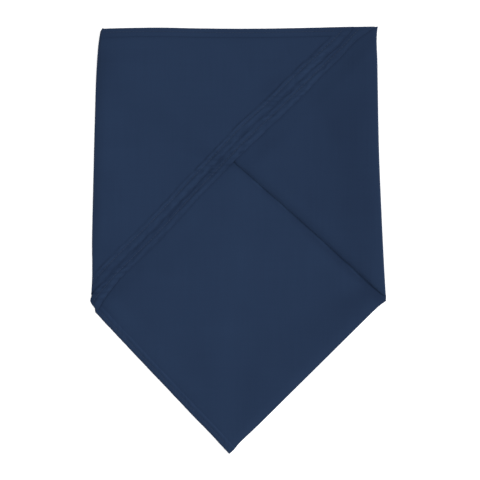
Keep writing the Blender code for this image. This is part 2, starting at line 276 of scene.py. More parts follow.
@dataclass(frozen=True)
class Bundle:
    """The outline of the folded cloth, and the heights at which its plies lie.

    The left flap's hems run at 45 degrees. A place on that flap is t, up and to the right along the hem, and
    inside, how far in it is from the under ply's hem edge.

    Args:
        point: the corner at the bottom, where the cloth comes to its point.
        right_corner: where the right fold meets the base's lower right fold.
        left_corner: where the left fold meets the base's hemmed lower left edge.
        clean_corner: where the right flap's clean edge starts.
        hidden_tip: the right flap's tip, under the left flap.
        top_right: the upper right corner.
        left_fold: the left fold, as x over y.
        right_fold: the right fold, as x over y.
        top_edge: the top edge, as y over x.
        under_hem_n: where the under ply's hem would run if it were straight.
        under_hem_bend: how far it bends out from there, over t.
        top_hem_bend: the same for the top ply's hem.
        clean_bend: how far the clean edge bends in, from the right corner on.
        hem_wander: how far the two hems wander besides.
        bend_fade: how far in the hems' bends have died away.
        ply_lag: how far in the top ply's hem edge lies from the under ply's.
        clean_sag: how the base sags outside the clean edge.
        sag_least: the share of the sag that is left by the right corner.
        sag_grows: how it grows from there along the edge.
        slit: how much painted light brightens the base in the slit under the clean edge, against its shadow
            there.
        slit_change: how uneven that painted light is.
        slit_dull: where along the edge that painted light is weaker.
        hem_painted_shadow: how much painted shadow darkens the cloth right outside the left flap's lower hem.
        clear: how the cloth outside that hem comes clear of it.
        base_top: the height of the base's face.
        pair_top: the height of the right flap's face.
        edge_settle: the distance in which the left flap settles on to the base, by its hem.
        inner_settle: the same further in.
        settle_widens: how far in the wider distance holds.
        settle_margin: how far past the clean edge it starts to settle.
        top_settle_margin: the same past the right flap's slanted top edge.
    """

    point: Corner = Corner(x=-7.4 * MM, y=-178.4 * MM)
    right_corner: Corner = Corner(x=122.9 * MM, y=-49.0 * MM)
    left_corner: Corner = Corner(x=-119.1 * MM, y=-60.0 * MM)
    clean_corner: Corner = Corner(x=122.5 * MM, y=-48.0 * MM)
    hidden_tip: Corner = Corner(x=-111.1 * MM, y=162.9 * MM)
    top_right: Corner = Corner(x=116.2 * MM, y=177.5 * MM)
    left_fold: SmoothLine = line_in_mm(
        (-60, -116.6), (-57, -118.6), (-55, -120.2), (-53, -121.7), (-50.6, -122.6), (-47, -122.1),
        (-38, -121.4), (0, -121.2), (50, -120.1), (99, -118.9), (149, -117), (163, -115.8),
        (171, -114.6), (178, -113.2),
    )
    right_fold: SmoothLine = line_in_mm(
        (-50, 123.1), (-25, 121.6), (24, 119.2), (74, 117.2), (126, 116.2), (150, 115.8), (167, 115.3),
        (173, 115.6), (178, 116.4),
    )
    top_edge: SmoothLine = line_in_mm(
        (-116, 175.1), (-97, 175.6), (-66, 176.1), (-35, 175.5), (15, 175.2), (48, 175.7), (90, 176.7),
        (104, 177), (118, 177.2),
    )
    under_hem_n: float = -68.2 * MM / ROOT2
    under_hem_bend: SmoothLine = line_in_mm(
        (-125, 7.4), (-117, 5.3), (-110, 3.9), (-103, 2.8), (-92, 1.8), (-82, 1.9), (-72, 2.3),
        (-50, 2.6), (-24, 1.5), (-7, 0.8), (10, 0.2), (26, 0.1), (43, -0.2), (60, 0.2), (85, 0.8),
        (110, 1.5), (126, 1.7), (142, 1.3), (165, 1.2), (190, 0.9), (198, 2.4), (206, 3.7), (215, 4.4),
    )
    top_hem_bend: SmoothLine = line_in_mm(
        (-120, 5.4), (-90, 4.6), (-73, 4.2), (-50, 4.4), (-24, 3.9), (-7, 3.3), (10, 2.6), (26, 2.5),
        (43, 2.4), (60, 1.7), (76, 1.6), (93, 2.3), (109, 2.9), (126, 2.8), (142, 3.4), (159, 4.1),
        (176, 4.3), (191, 3.2), (215, 2.6),
    )
    clean_bend: SmoothLine = line_in_mm(
        (0, 0.1), (15, 0.4), (35, 0.5), (65, 0.45), (95, 0.5), (120, 0.2), (140, 0), (160, -0.4),
        (180, -0.5),
    )
    hem_wander: Uneven = Uneven(swing=0.2 * MM, pitch=13 * MM)
    bend_fade: float = 40 * MM
    ply_lag: float = 11.6 * MM
    clean_sag: Mound = Mound(height=0.24 * MM, at=0.5 * MM, width=3.8 * MM)
    sag_least: float = 0.3
    sag_grows: Ramp = Ramp(start=2 * MM, run=16 * MM)
    slit: Mound = Mound(height=6.5, at=0.05 * MM, width=0.5 * MM)
    slit_change: Uneven = Uneven(swing=0.2, pitch=7 * MM)
    slit_dull: Mound = Mound(height=0.9, at=76 * MM, width=8 * MM)
    hem_painted_shadow: Mound = Mound(height=1.3, at=0.4 * MM, width=1.0 * MM)
    clear: Ramp = Ramp(start=3 * MM, run=14 * MM)
    base_top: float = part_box("folded_base")[1].z
    pair_top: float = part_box("right_flap")[1].z
    edge_settle: float = 12 * MM
    inner_settle: float = 34 * MM
    settle_widens: float = 70 * MM
    settle_margin: float = 1 * MM
    top_settle_margin: float = 5 * MM

    def on_flap(self, inside: Array, t: Array) -> tuple[Array, Array]:
        """Gives places on the left flap as x and y.

        Args:
            inside: distances in from the under ply's hem edge.
            t: distances along the hem.

        Returns:
            The x and the y of each place.
        """
        share = np.clip(inside / self.ply_lag, 0, 1)
        under = self.under_hem_bend(t) + self.hem_wander(Seed.UNDER_WANDER, t)
        top = self.top_hem_bend(t) + self.hem_wander(Seed.TOP_WANDER, t)
        bow = (1 - share) * under + share * top
        n = self.under_hem_n - inside + bow * (1 - ease((inside - self.ply_lag) / self.bend_fade))
        return (t + n) / ROOT2, (t - n) / ROOT2

    def past_clean_edge(self, x: Array, y: Array) -> Array:
        """How far places lie outside the right flap's clean, folded edge."""
        bend = self.clean_bend(self.along_clean_edge(x, y))
        return beside_line(self.clean_corner, self.hidden_tip, x, y) + bend

    def along_clean_edge(self, x: Array, y: Array) -> Array:
        """How far places lie along the clean edge from the right corner."""
        return along_line(self.clean_corner, self.hidden_tip, x, y)

    def clean_dip(self, x: Array, y: Array) -> Array:
        """How far the base sags along the clean edge, less by the right corner."""
        share = self.sag_least + (1 - self.sag_least) * self.sag_grows(self.along_clean_edge(x, y))
        return share * self.clean_sag(self.past_clean_edge(x, y))

    def painted_slit_light(self, x: Array, y: Array) -> Array:
        """Painted light on the base right under the clean edge, which makes the shadow there paler."""
        along = self.along_clean_edge(x, y)
        uneven = 1 + self.slit_change(Seed.SLIT, along) - self.slit_dull(along)
        return uneven * self.slit(self.past_clean_edge(x, y))

    def painted_hem_shadow(self, x: Array, y: Array) -> Array:
        """Painted shadow on the cloth right beside the left flap's lower hem."""
        return self.hem_painted_shadow(self.past_flap(x, y))

    def past_slanted_top(self, x: Array, y: Array) -> Array:
        """How far places lie above the right flap's own top edge, which slants down to its hidden tip."""
        return beside_line(self.hidden_tip, self.top_right, x, y)

    def from_lower_left(self, x: Array, y: Array) -> Array:
        """How far places lie in from the base's hemmed lower left edge."""
        return beside_line(self.left_corner, self.point, x, y)

    def past_flap(self, x: Array, y: Array) -> Array:
        """How far places lie outside the left flap's lower hem."""
        return (x - y) / ROOT2 - self.under_hem_n - self.under_hem_bend((x + y) / ROOT2)

    def clear_of_flap(self, x: Array, y: Array) -> Array:
        """Rises from 0 under the left flap to 1 clear of it."""
        return self.clear(self.past_flap(x, y))

    def support(self, x: Array, y: Array) -> Array:
        """Gives the height that the left flap lies on: the right flap, and the base beside it.

        Args:
            x: places across the bundle.
            y: places along it.

        Returns:
            One height for each place.
        """
        beside = np.maximum(self.past_clean_edge(x, y) - self.settle_margin, 0)
        above = np.maximum(self.past_slanted_top(x, y) - self.top_settle_margin, 0)
        inside = self.under_hem_n - (x - y) / ROOT2
        widening = (self.inner_settle - self.edge_settle) * ease(inside / self.settle_widens)
        lifted = 1 - ease(np.hypot(beside, above) / (self.edge_settle + widening))
        return self.base_top + lifted * (self.pair_top - self.base_top)


BUNDLE = Bundle()


# --- Hems ---


class Lumps(NamedTuple):
    """Uneven lumps in a hem: how high they stand for puckers of height 1, and how long and wide they are."""

    height: float
    length: float
    width: float

    def __call__(self, seed: int, inside: Array, along: Array) -> Array:
        """How high they stand at some places in from the hem's edge and along it."""
        return self.height * Billow(seed, 1)(along / self.length, inside / self.width)


@dataclass(frozen=True)
class Hem:
    """A narrow turned hem with one row of topstitching, which puckers more where it is cut on the bias.

    Args:
        seed: the seed of its puckers; the six numbers after it are its own as well.
        pucker: how high its puckers stand.
        period: the mean distance between two puckers.
        drift: how much they wander from their places.
        strength: how strong they are on average.
        strength_change: how much that changes along the hem.
        second_wave: how strong the half as long waves are among them.
        slant: how far a pucker runs along the hem for each unit in.
        lumps: the small lumps among the puckers.
        long_lumps: the long ones.
        long_slant: the same for a long lump.
        hold: how much the stitching holds the puckers down.
        past_hold: how the puckers end past the hem.
        fade: the distance over which what is left of them fades there.
        ridge: how high the hem's two ridges stand over its flat.
        ridge_width: how wide they are.
        ridge_change: how uneven they are.
        wander: how far the ridges and the valley wander.
        valley: how deep the stitching pulls the hem in.
        valley_width: how wide that valley is.
        groove: how the cloth sags right past the hem.
        rounding: how far the hem's edge is rounded down.
        rounding_reach: how far in it is rounded.
        outer_ridge: how far in the outer ridge lies.
        stitch_line: how far in the stitching lies.
        inner_ridge: how far in the inner ridge lies.
        width: how wide the hem is.
        shoulder: the distance over which its turned layers end.
        thick: how thick it is with the layers turned in.
        cloth: how thick the plain cloth is.
    """

    seed: int
    pucker: float = 0.31 * MM
    period: float = 8.5 * MM
    drift: Uneven = Uneven(swing=1.1, pitch=19 * MM)
    strength: float = 0.45
    strength_change: Uneven = Uneven(swing=0.55, pitch=14 * MM)
    second_wave: float = 0.3
    slant: float = 0.9
    lumps: Lumps = Lumps(height=1.1, length=5.5 * MM, width=2.1 * MM)
    long_lumps: Lumps = Lumps(height=0.9, length=14 * MM, width=2.6 * MM)
    long_slant: float = 2.5
    hold: float = 0.5
    past_hold: Ramp = Ramp(start=-0.5 * MM, run=2.2 * MM, height=0.94)
    fade: float = 6 * MM
    ridge: float = 0.16 * MM
    ridge_width: float = 1.2 * MM
    ridge_change: Uneven = Uneven(swing=0.6, pitch=5.5 * MM)
    wander: Uneven = Uneven(swing=0.25 * MM, pitch=22 * MM)
    valley: float = 0.20 * MM
    valley_width: float = 0.9 * MM
    groove: Mound = Mound(height=0.12 * MM, at=0.7 * MM, width=1.1 * MM)
    rounding: float = 0.22 * MM
    rounding_reach: float = 2.4 * MM
    outer_ridge: float = 3.7 * MM
    stitch_line: float = 5.9 * MM
    inner_ridge: float = 7.6 * MM
    width: float = 8.9 * MM
    shoulder: float = 1.0 * MM
    thick: float = 0.75 * MM
    cloth: float = 0.45 * MM

    def puckers(self, inside: Array, along: Array) -> Array:
        """Gives the height of the small gathers that the stitching pulls into the hem.

        Args:
            inside: distances in from the hem's edge.
            along: distances along it.

        Returns:
            One height for each place.
        """
        skewed = along + self.slant * inside
        angle = 2 * math.pi * (skewed / self.period + self.drift(self.seed, skewed))
        waves = np.sin(angle) + self.second_wave * np.sin(2 * angle + 1)
        height = (self.strength + self.strength_change(self.seed + 1, along)) * waves
        height = height + self.lumps(self.seed + 5, inside, skewed)
        height = height + self.long_lumps(self.seed + 6, inside, along + self.long_slant * inside)
        past = inside - self.width
        held = 1 - self.hold * bump(inside - self.stitch_line, self.valley_width)
        reach = held * (1 - self.past_hold(past))
        return self.pucker * height * reach * np.exp(-np.maximum(past, 0) / self.fade)

    def relief(self, inside: Array, along: Array) -> Array:
        """Gives how far the hem's face stands over or under its own level.

        Args:
            inside: distances in from the hem's edge.
            along: distances along it.

        Returns:
            One height for each place.
        """
        swell = 1 + self.ridge_change(self.seed + 3, along)
        line = inside - self.wander(self.seed + 4, along)
        ridges = sum(bump(line - at, self.ridge_width) for at in (self.outer_ridge, self.inner_ridge))
        valley = self.valley * bump(line - self.stitch_line, self.valley_width)
        groove = self.groove(line - self.width)
        rounding = self.rounding * (1 - ease(inside / self.rounding_reach))
        return self.ridge * swell * ridges - valley - groove - rounding + self.puckers(inside, along)

    def turned(self, inside: Array) -> Array:
        """How much the turned layers add to the cloth's thickness at distances in from the hem's edge."""
        past = inside - self.width + self.shoulder / 2
        return (self.thick - self.cloth) * (1 - ease(past / self.shoulder))


@dataclass(frozen=True)
class Stroke:
    """One soft stroke over the cloth: a trough or ridge, or a patch where the colour is painted paler or
    darker.

    Args:
        start: where it starts.
        end: where it ends.
        width: how wide it is.
        height: how high it stands, or how deep it is if negative; for a patch, how much paler it is painted.
        fade: how far past its ends it fades, for each unit of its width.
    """

    start: Corner
    end: Corner
    width: float
    height: float
    fade: float = 2.5

    def __call__(self, x: Array, y: Array) -> Array:
        """Gives the stroke's height.

        Args:
            x: places across the bundle.
            y: places along it.

        Returns:
            One height for each place.
        """
        length = math.dist(self.start, self.end)
        along = along_line(self.start, self.end, x, y)
        across = beside_line(self.start, self.end, x, y)
        past = np.maximum(np.maximum(-along, along - length), 0)
        return self.height * bump(across, self.width) * bump(past, self.fade * self.width)


def patch(start: tuple[float, float], end: tuple[float, float], wide: float, pale: float) -> Stroke:
    """A patch painted paler, or darker if pale is negative; its places and width are in millimetres."""
    first, last = (Corner(x * MM, y * MM) for x, y in (start, end))
    return Stroke(start=first, end=last, width=wide * MM, height=pale)


def tuck(start: tuple[float, float], end: tuple[float, float], wide: float, deep: float) -> Stroke:
    """A small trough in the cloth; its places, width and depth are in millimetres."""
    return patch(start, end, wide, -deep * MM)


def strokes_at(strokes: Sequence[Stroke], x: Array, y: Array) -> Array:
    """The height of several strokes together."""
    return sum((stroke(x, y) for stroke in strokes), np.zeros_like(x))


# --- Sheets of cloth ---


class Side(Enum):
    """The side of the bundle that a fold is on."""

    LEFT = -1
    RIGHT = 1


def cloth_length(edge: Array, fold: Array) -> Array:
    """How much cloth lies between an edge, rows x 1 x parts, and each place round a fold beside it."""
    path = np.concatenate([edge, fold], axis=1)
    return np.cumsum(np.linalg.norm(np.diff(path, axis=1), axis=2), axis=1)


@dataclass(frozen=True)
class FoldTurn:
    """How a ply goes round a side fold, from the top of the bundle down to the floor.

    Args:
        side: the side of the bundle.
        line: the fold's line, seen from above.
        middle: the height of the fold's widest place.
        foot: how far the ply turns in again by the floor.
        tuck: how far it then runs on, flat, under the bundle.
        falls: how far the rows run down the fold for each unit round it.
        lead: the angle by which the cloth leans down where it starts to turn.
        upper_steps: how many places it has from there to its widest.
        lower_steps: how many it has from its widest to the floor.
    """

    side: Side
    line: SmoothLine
    middle: float | Array
    foot: float
    tuck: float
    falls: float | Array
    lead: float = math.radians(30)
    upper_steps: int = 8
    lower_steps: int = 7

    def path(self, start: Array, radius: Array, floor: Array, foot_share: Array | float = 1.0) -> Array:
        """Gives the places round the fold.

        Args:
            start: rows x 3, where each row starts to turn down.
            radius: for each row, how far out the fold reaches from its start.
            floor: for each row, how low it goes.
            foot_share: the share of the foot that a row makes.

        Returns:
            rows x steps x 3, from the top down.
        """
        upper = np.linspace(self.lead, math.pi / 2, self.upper_steps + 1)[1:]
        first = math.sin(self.lead)
        lower = np.linspace(0, math.pi / 2, self.lower_steps + 1)[1:]
        radius, floor = radius[:, None], floor[:, None]
        foot = self.foot * np.asarray(foot_share).reshape(-1, 1)
        top = start[:, 2:3]
        out = [
            radius * (np.sin(upper) - first) / (1 - first),
            radius - foot * (1 - np.cos(lower)),
            radius - foot - self.tuck,
        ]
        height = [
            self.middle + (top - self.middle) * np.cos(upper) / math.cos(self.lead),
            floor + (self.middle - floor) * (1 - np.sin(lower)),
            floor,
        ]
        rows = len(start)
        out, height = (
            np.concatenate([np.broadcast_to(part, (rows, part.shape[1])) for part in parts], axis=1)
            for parts in (out, height)
        )
        arc = cloth_length(start[:, None, ::2], np.stack([start[:, :1] + out, height], axis=2))
        y0 = start[:, 1:2]
        y = y0 - arc * self.falls
        x = start[:, 0:1] + self.side.value * out + self.line(y) - self.line(y0)
        return np.stack([x, y, height], axis=2)


@dataclass
class Sheet:
    """A closed sheet of cloth between two grids of points, with a soft rim.

    Args:
        name: the piece's name.
        outer: rows x columns x 3, the face that shows.
        inner: the same, the face under it.
        cloth: rows x columns x 2, where each point is on the flat cloth.
        painted_shade_and_patches: rows x columns, how much paler or darker each point is painted, for painted
            light and shade and painted patches, from -1 to 1.
        plain_column: the column whose rim stays plain, where a fold comes down to the floor.
        layered: rows x columns, true where the rim shows the edges of two plies.
        rim_steps: how many steps the rim takes from one face to the other.
        sharpest: the cosine of the sharpest turn that the rim takes at a corner.
        ply_power: how blunt the edge of each of two plies is.
    """

    name: str
    outer: Array
    inner: Array
    cloth: Array
    painted_shade_and_patches: Array
    plain_column: int | None = None
    layered: Array | None = None
    rim_steps: int = 8
    sharpest: float = -0.3
    ply_power: float = 0.7

    def rim(self) -> list[tuple[int, int]]:
        """Gives the grid places round the rim.

        Returns:
            The row and the column of each, anticlockwise from above.
        """
        rows, columns = self.outer.shape[:2]
        bottom = [(0, j) for j in range(columns - 1)]
        right = [(i, columns - 1) for i in range(rows - 1)]
        top = [(rows - 1, j) for j in range(columns - 1, 0, -1)]
        left = [(i, 0) for i in range(rows - 1, 0, -1)]
        return bottom + right + top + left

    def outward(self, rim: Array) -> Array:
        """Gives the way that the rim stands out at each of its places.

        Args:
            rim: places x 2, the grid places round the rim.

        Returns:
            places x 3, each level with the face beside it.
        """
        rows, columns = self.outer.shape[:2]
        after = np.roll(rim, -1, axis=0)
        edge = self.outer[after[:, 0], after[:, 1]] - self.outer[rim[:, 0], rim[:, 1]]
        a = np.clip(rim[:, 0], 0, rows - 2)
        b = np.clip(rim[:, 1], 0, columns - 2)
        corner = self.outer[a, b]
        face = np.cross(self.outer[a, b + 1] - corner, self.outer[a + 1, b] - corner)
        sides = np.cross(edge, face)
        sides /= np.maximum(np.linalg.norm(sides, axis=1, keepdims=True), TINY)
        if self.plain_column is not None:
            sides[(rim[:, 1] == self.plain_column) & (after[:, 1] == self.plain_column)] = 0
        before = np.roll(sides, 1, axis=0)
        agree = np.maximum((before * sides).sum(axis=1, keepdims=True), self.sharpest)
        return (before + sides) / (1 + agree)

    def build(self, material: Material) -> Piece:
        """Builds the sheet's mesh and puts it in the scene.

        Args:
            material: the cloth's finish.

        Returns:
            The new piece, which rides on the body.
        """
        rows, columns = self.outer.shape[:2]
        rim = np.array(self.rim())
        index = np.arange(rows * columns).reshape(rows, columns)
        corners = [index[:-1, :-1], index[:-1, 1:], index[1:, 1:], index[1:, :-1]]
        quads = np.stack(corners, axis=-1).reshape(-1, 4)
        count = rows * columns
        faces = [quads, quads[:, ::-1] + count]
        points = [self.outer.reshape(-1, 3), self.inner.reshape(-1, 3)]
        ring = index[rim[:, 0], rim[:, 1]]
        outer, inner = points[0][ring], points[1][ring]
        out = self.outward(rim)
        nose = np.linalg.norm(outer - inner, axis=1, keepdims=True) / 2
        folded = np.ones(len(rim), bool) if self.layered is None else ~self.layered[rim[:, 0], rim[:, 1]]
        loops, cloth, painted_shade_and_patches = [ring], [self.cloth.reshape(-1, 2)] * 2, [self.painted_shade_and_patches.ravel()] * 2
        for step in range(1, self.rim_steps):
            angle = math.pi * step / self.rim_steps
            down = (1 - math.cos(angle)) / 2
            push = np.where(folded, math.sin(angle), abs(math.sin(2 * angle)) ** self.ply_power)[:, None]
            loop = outer + (inner - outer) * down + out * nose * push
            loop[:, 2] = np.maximum(loop[:, 2], 0)
            loops.append(2 * count + len(rim) * (step - 1) + np.arange(len(rim)))
            points.append(loop)
            cloth.append(self.cloth[rim[:, 0], rim[:, 1]] + (out * nose)[:, :2] * push)
            painted_shade_and_patches.append(self.painted_shade_and_patches[rim[:, 0], rim[:, 1]])
        loops.append(ring + count)
        for above, below in zip(loops, loops[1:]):
            faces.append(np.stack([below, np.roll(below, -1), np.roll(above, -1), above], axis=1))
        mesh = bpy.data.meshes.new(self.name)
        mesh.from_pydata(np.concatenate(points).tolist(), [], np.concatenate(faces).tolist())
        flat = np.concatenate(cloth)
        flat = np.concatenate([flat, np.zeros((len(flat), 1))], axis=1)
        place = mesh.attributes.new("cloth", "FLOAT_VECTOR", "POINT")
        place.data.foreach_set("vector", flat.astype(np.float32).ravel())
        # How much paler or darker each point is painted, for painted light and shade and painted patches.
        painted_shade_layer = mesh.attributes.new("painted_shade_and_patches", "FLOAT", "POINT")
        painted_shade_layer.data.foreach_set("value", np.concatenate(painted_shade_and_patches).astype(np.float32))
        mesh.shade_smooth()
        mesh.materials.append(material)
        return place_piece(self.name, mesh)


def place_piece(name: str, mesh: bpy.types.Mesh) -> Piece:
    """Puts a mesh in the scene as a piece that rides on the body.

    Args:
        name: the piece's name.
        mesh: its mesh.

    Returns:
        The new piece.
    """
    piece = bpy.data.objects.new(name, mesh)
    bpy.context.scene.collection.objects.link(piece)
    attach(piece, BODY)
    return piece


def spaced_rows(first: float, fine_end: float, fine: float, last: float, coarse: float) -> Array:
    """Gives distances in from a hem, close together over the hem and wider apart past it.

    Args:
        first: the first distance.
        fine_end: where the close rows end.
        fine: the step of the close rows.
        last: the last distance.
        coarse: the widest step of the others.

    Returns:
        The distances, in order.
    """
    near = np.arange(first, fine_end, fine)
    count = max(int(round((last - near[-1]) / coarse)), 2) + EXTRA_ROWS
    share = np.linspace(0, 1, count + 1)[1:]
    start = fine * count / (last - near[-1])
    curved = share * (start + (1 - start) * share ** ROW_SPREAD) if start < 1 else share
    return np.concatenate([near, near[-1] + (last - near[-1]) * curved])


# --- Stitching ---


@dataclass(frozen=True)
class Stitching:
    """A row of lockstitch along a line of places.

    Args:
        length: the length of one stitch.
        gap: the gap where the thread dips into the cloth.
        thread: the thread's radius.
        sides: how many sides it has.
        steps: how many rings one stitch has.
        sink: how deep the ends of a stitch sink into the cloth.
        rise: how far its middle stands over the cloth, in radii.
        tip: the square of how thin its ends are.
    """

    length: float = 2.35 * MM
    gap: float = 0.4 * MM
    thread: float = 0.17 * MM
    sides: int = 6
    steps: int = 6
    sink: float = 0.16 * MM
    rise: float = 0.6
    tip: float = 0.12

    def build(self, name: str, lines: Sequence[Array], material: Material) -> Piece:
        """Builds all the stitches of some lines as one joined mesh.

        Args:
            name: the piece's name.
            lines: places x 3 each, the line that each row of stitches follows on the cloth's face.
            material: the thread's finish.

        Returns:
            The new piece.
        """
        points: list[Array] = []
        faces: list[Array] = []
        start = 0
        for line in lines:
            arc = np.concatenate([[0], np.cumsum(np.linalg.norm(np.diff(line, axis=0), axis=1))])
            for first in np.arange(self.gap, arc[-1] - self.length, self.length + self.gap):
                tube = self.stitch(line, arc, first)
                points.append(tube)
                faces.append(self.tube_faces() + start)
                start += len(tube)
        mesh = bpy.data.meshes.new(name)
        mesh.from_pydata(np.concatenate(points).tolist(), [], np.concatenate(faces).tolist())
        mesh.shade_smooth()
        mesh.materials.append(material)
        return place_piece(name, mesh)

    def stitch(self, line: Array, arc: Array, first: float) -> Array:
        """Gives the points of one stitch.

        Args:
            line: the line that it follows.
            arc: the length along the line at each of its places.
            first: the length along the line at which it starts.

        Returns:
            The points of its rings, one ring after another.
        """
        share = np.linspace(0, 1, self.steps)
        at = first + self.length * share
        middle = np.stack([np.interp(at, arc, line[:, k]) for k in range(3)], axis=1)
        middle[:, 2] += self.thread * self.rise - self.sink * (2 * share - 1) ** 4
        run = middle[-1] - middle[0]
        run /= np.linalg.norm(run)
        across = np.cross(run, (0, 0, 1))
        across /= np.linalg.norm(across)
        up = np.cross(across, run)
        radius = self.thread * np.sqrt(np.clip(1 - (2 * share - 1) ** 8, self.tip, 1))
        angle = np.linspace(0, 2 * math.pi, self.sides, endpoint=False)
        ring = np.cos(angle)[:, None] * across + np.sin(angle)[:, None] * up
        return (middle[:, None] + radius[:, None, None] * ring).reshape(-1, 3)

    def tube_faces(self) -> Array:
        """Gives the quads of one closed stitch.

        Returns:
            The quads, with two to pinch shut each end.
        """
        index = np.arange(self.sides * self.steps).reshape(self.steps, self.sides)
        after = np.roll(index, -1, axis=1)
        sides = np.stack([index[:-1], after[:-1], after[1:], index[1:]], axis=-1).reshape(-1, 4)
        first, last = index[0], index[-1]
        caps = [first[[3, 2, 1, 0]], first[[5, 4, 3, 0]], last[[0, 1, 2, 3]], last[[0, 3, 4, 5]]]
        return np.concatenate([sides, np.array(caps)])


# --- Shader maths ---


class Wire:
    """A socket of a shader that works in sums, so that 1 - mask adds its Math node."""

    def __init__(self, graph: "Graph", socket: bpy.types.NodeSocket) -> None:
        """Wraps a socket of a graph."""
        self.graph = graph
        self.socket = socket

    def __add__(self, other: "Wire | float") -> "Wire":
        """The sum."""
        return self.graph.math("ADD", self, other)

    __radd__ = __add__

    def __mul__(self, other: "Wire | float") -> "Wire":
        """The product."""
        return self.graph.math("MULTIPLY", self, other)

    __rmul__ = __mul__

    def __sub__(self, other: "Wire | float") -> "Wire":
        """The difference."""
        return self.graph.math("SUBTRACT", self, other)

    def __rsub__(self, other: float) -> "Wire":
        """The difference, with this one taken away."""
        return self.graph.math("SUBTRACT", other, self)

    def __abs__(self) -> "Wire":
        """The size without its sign."""
        return self.graph.math("ABSOLUTE", self)

    def sine(self) -> "Wire":
        """The sine."""
        return self.graph.math("SINE", self)


class Graph:
    """The node graph of one material."""

    def __init__(self, name: str) -> None:
        """Starts a material with its shader.

        Args:
            name: the material's name.
        """
        self.material = bpy.data.materials.new(name)
        self.material.use_nodes = True
        self.tree = self.material.node_tree
        self.shader = self.tree.nodes["Principled BSDF"]

    def node(self, kind: str, settings: Mapping[str, Any], inputs: Mapping[str | int, Any]) -> bpy.types.Node:
        """Adds a node.

        Args:
            kind: the node's type.
            settings: its own settings, which are set first.
            inputs: the value or the link of each socket.

        Returns:
            The new node.
        """
        node = self.tree.nodes.new(kind)
        for key, value in settings.items():
            setattr(node, key, value)
        for key, value in inputs.items():
            self.feed(node.inputs[key], value)
        return node

    def feed(self, socket: bpy.types.NodeSocket, value: Any) -> None:
        """Links a wire to a socket, or sets the socket's value.

        Args:
            socket: the socket.
            value: the wire or the value.
        """
        if isinstance(value, Wire):
            self.tree.links.new(value.socket, socket)
        else:
            socket.default_value = value

    def math(self, operation: str, *values: "Wire | float") -> Wire:
        """A Math node's result."""
        node = self.node("ShaderNodeMath", {"operation": operation}, dict(enumerate(values)))
        return Wire(self, node.outputs[0])

    def attribute(self, name: str, output: str) -> Wire:
        """One output of a mesh attribute."""
        node = self.node("ShaderNodeAttribute", {"attribute_name": name}, {})
        return Wire(self, node.outputs[output])

    def split(self, vector: Wire) -> tuple[Wire, Wire, Wire]:
        """The three parts of a vector."""
        node = self.node("ShaderNodeSeparateXYZ", {}, {0: vector})
        return Wire(self, node.outputs[0]), Wire(self, node.outputs[1]), Wire(self, node.outputs[2])

    def join(self, x: Wire, y: Wire) -> Wire:
        """A vector of two parts."""
        node = self.node("ShaderNodeCombineXYZ", {}, {0: x, 1: y})
        return Wire(self, node.outputs[0])

    def noise(self, vector: Wire, scale: float, detail: float = 2.0) -> Wire:
        """Soft noise between 0 and 1.

        Args:
            vector: where it is read.
            scale: how many of its spots fit in a metre.
            detail: how much finer noise is in it.

        Returns:
            The noise.
        """
        node = self.node("ShaderNodeTexNoise", {}, {"Vector": vector, "Scale": scale, "Detail": detail})
        return Wire(self, node.outputs["Fac"])

    def blend(self, share: Wire, first: Sequence[float], second: Sequence[float]) -> Wire:
        """Goes from one colour to another.

        Args:
            share: 0 for the first colour and 1 for the second.
            first: the first colour.
            second: the second colour.

        Returns:
            The colour.
        """
        node = self.node("ShaderNodeMix", {"data_type": "RGBA"}, {0: share, 6: (*first, 1), 7: (*second, 1)})
        return Wire(self, node.outputs[2])

    def dress(self, constants: Mapping[str, Any], wires: Mapping[str, Wire]) -> Material:
        """Sets the shader's sockets.

        Args:
            constants: the values that are the same all over the surface.
            wires: what changes over it.

        Returns:
            The finished material.
        """
        for key, value in {**constants, **wires}.items():
            self.feed(self.shader.inputs[key], value)
        return self.material


# --- Finishes ---


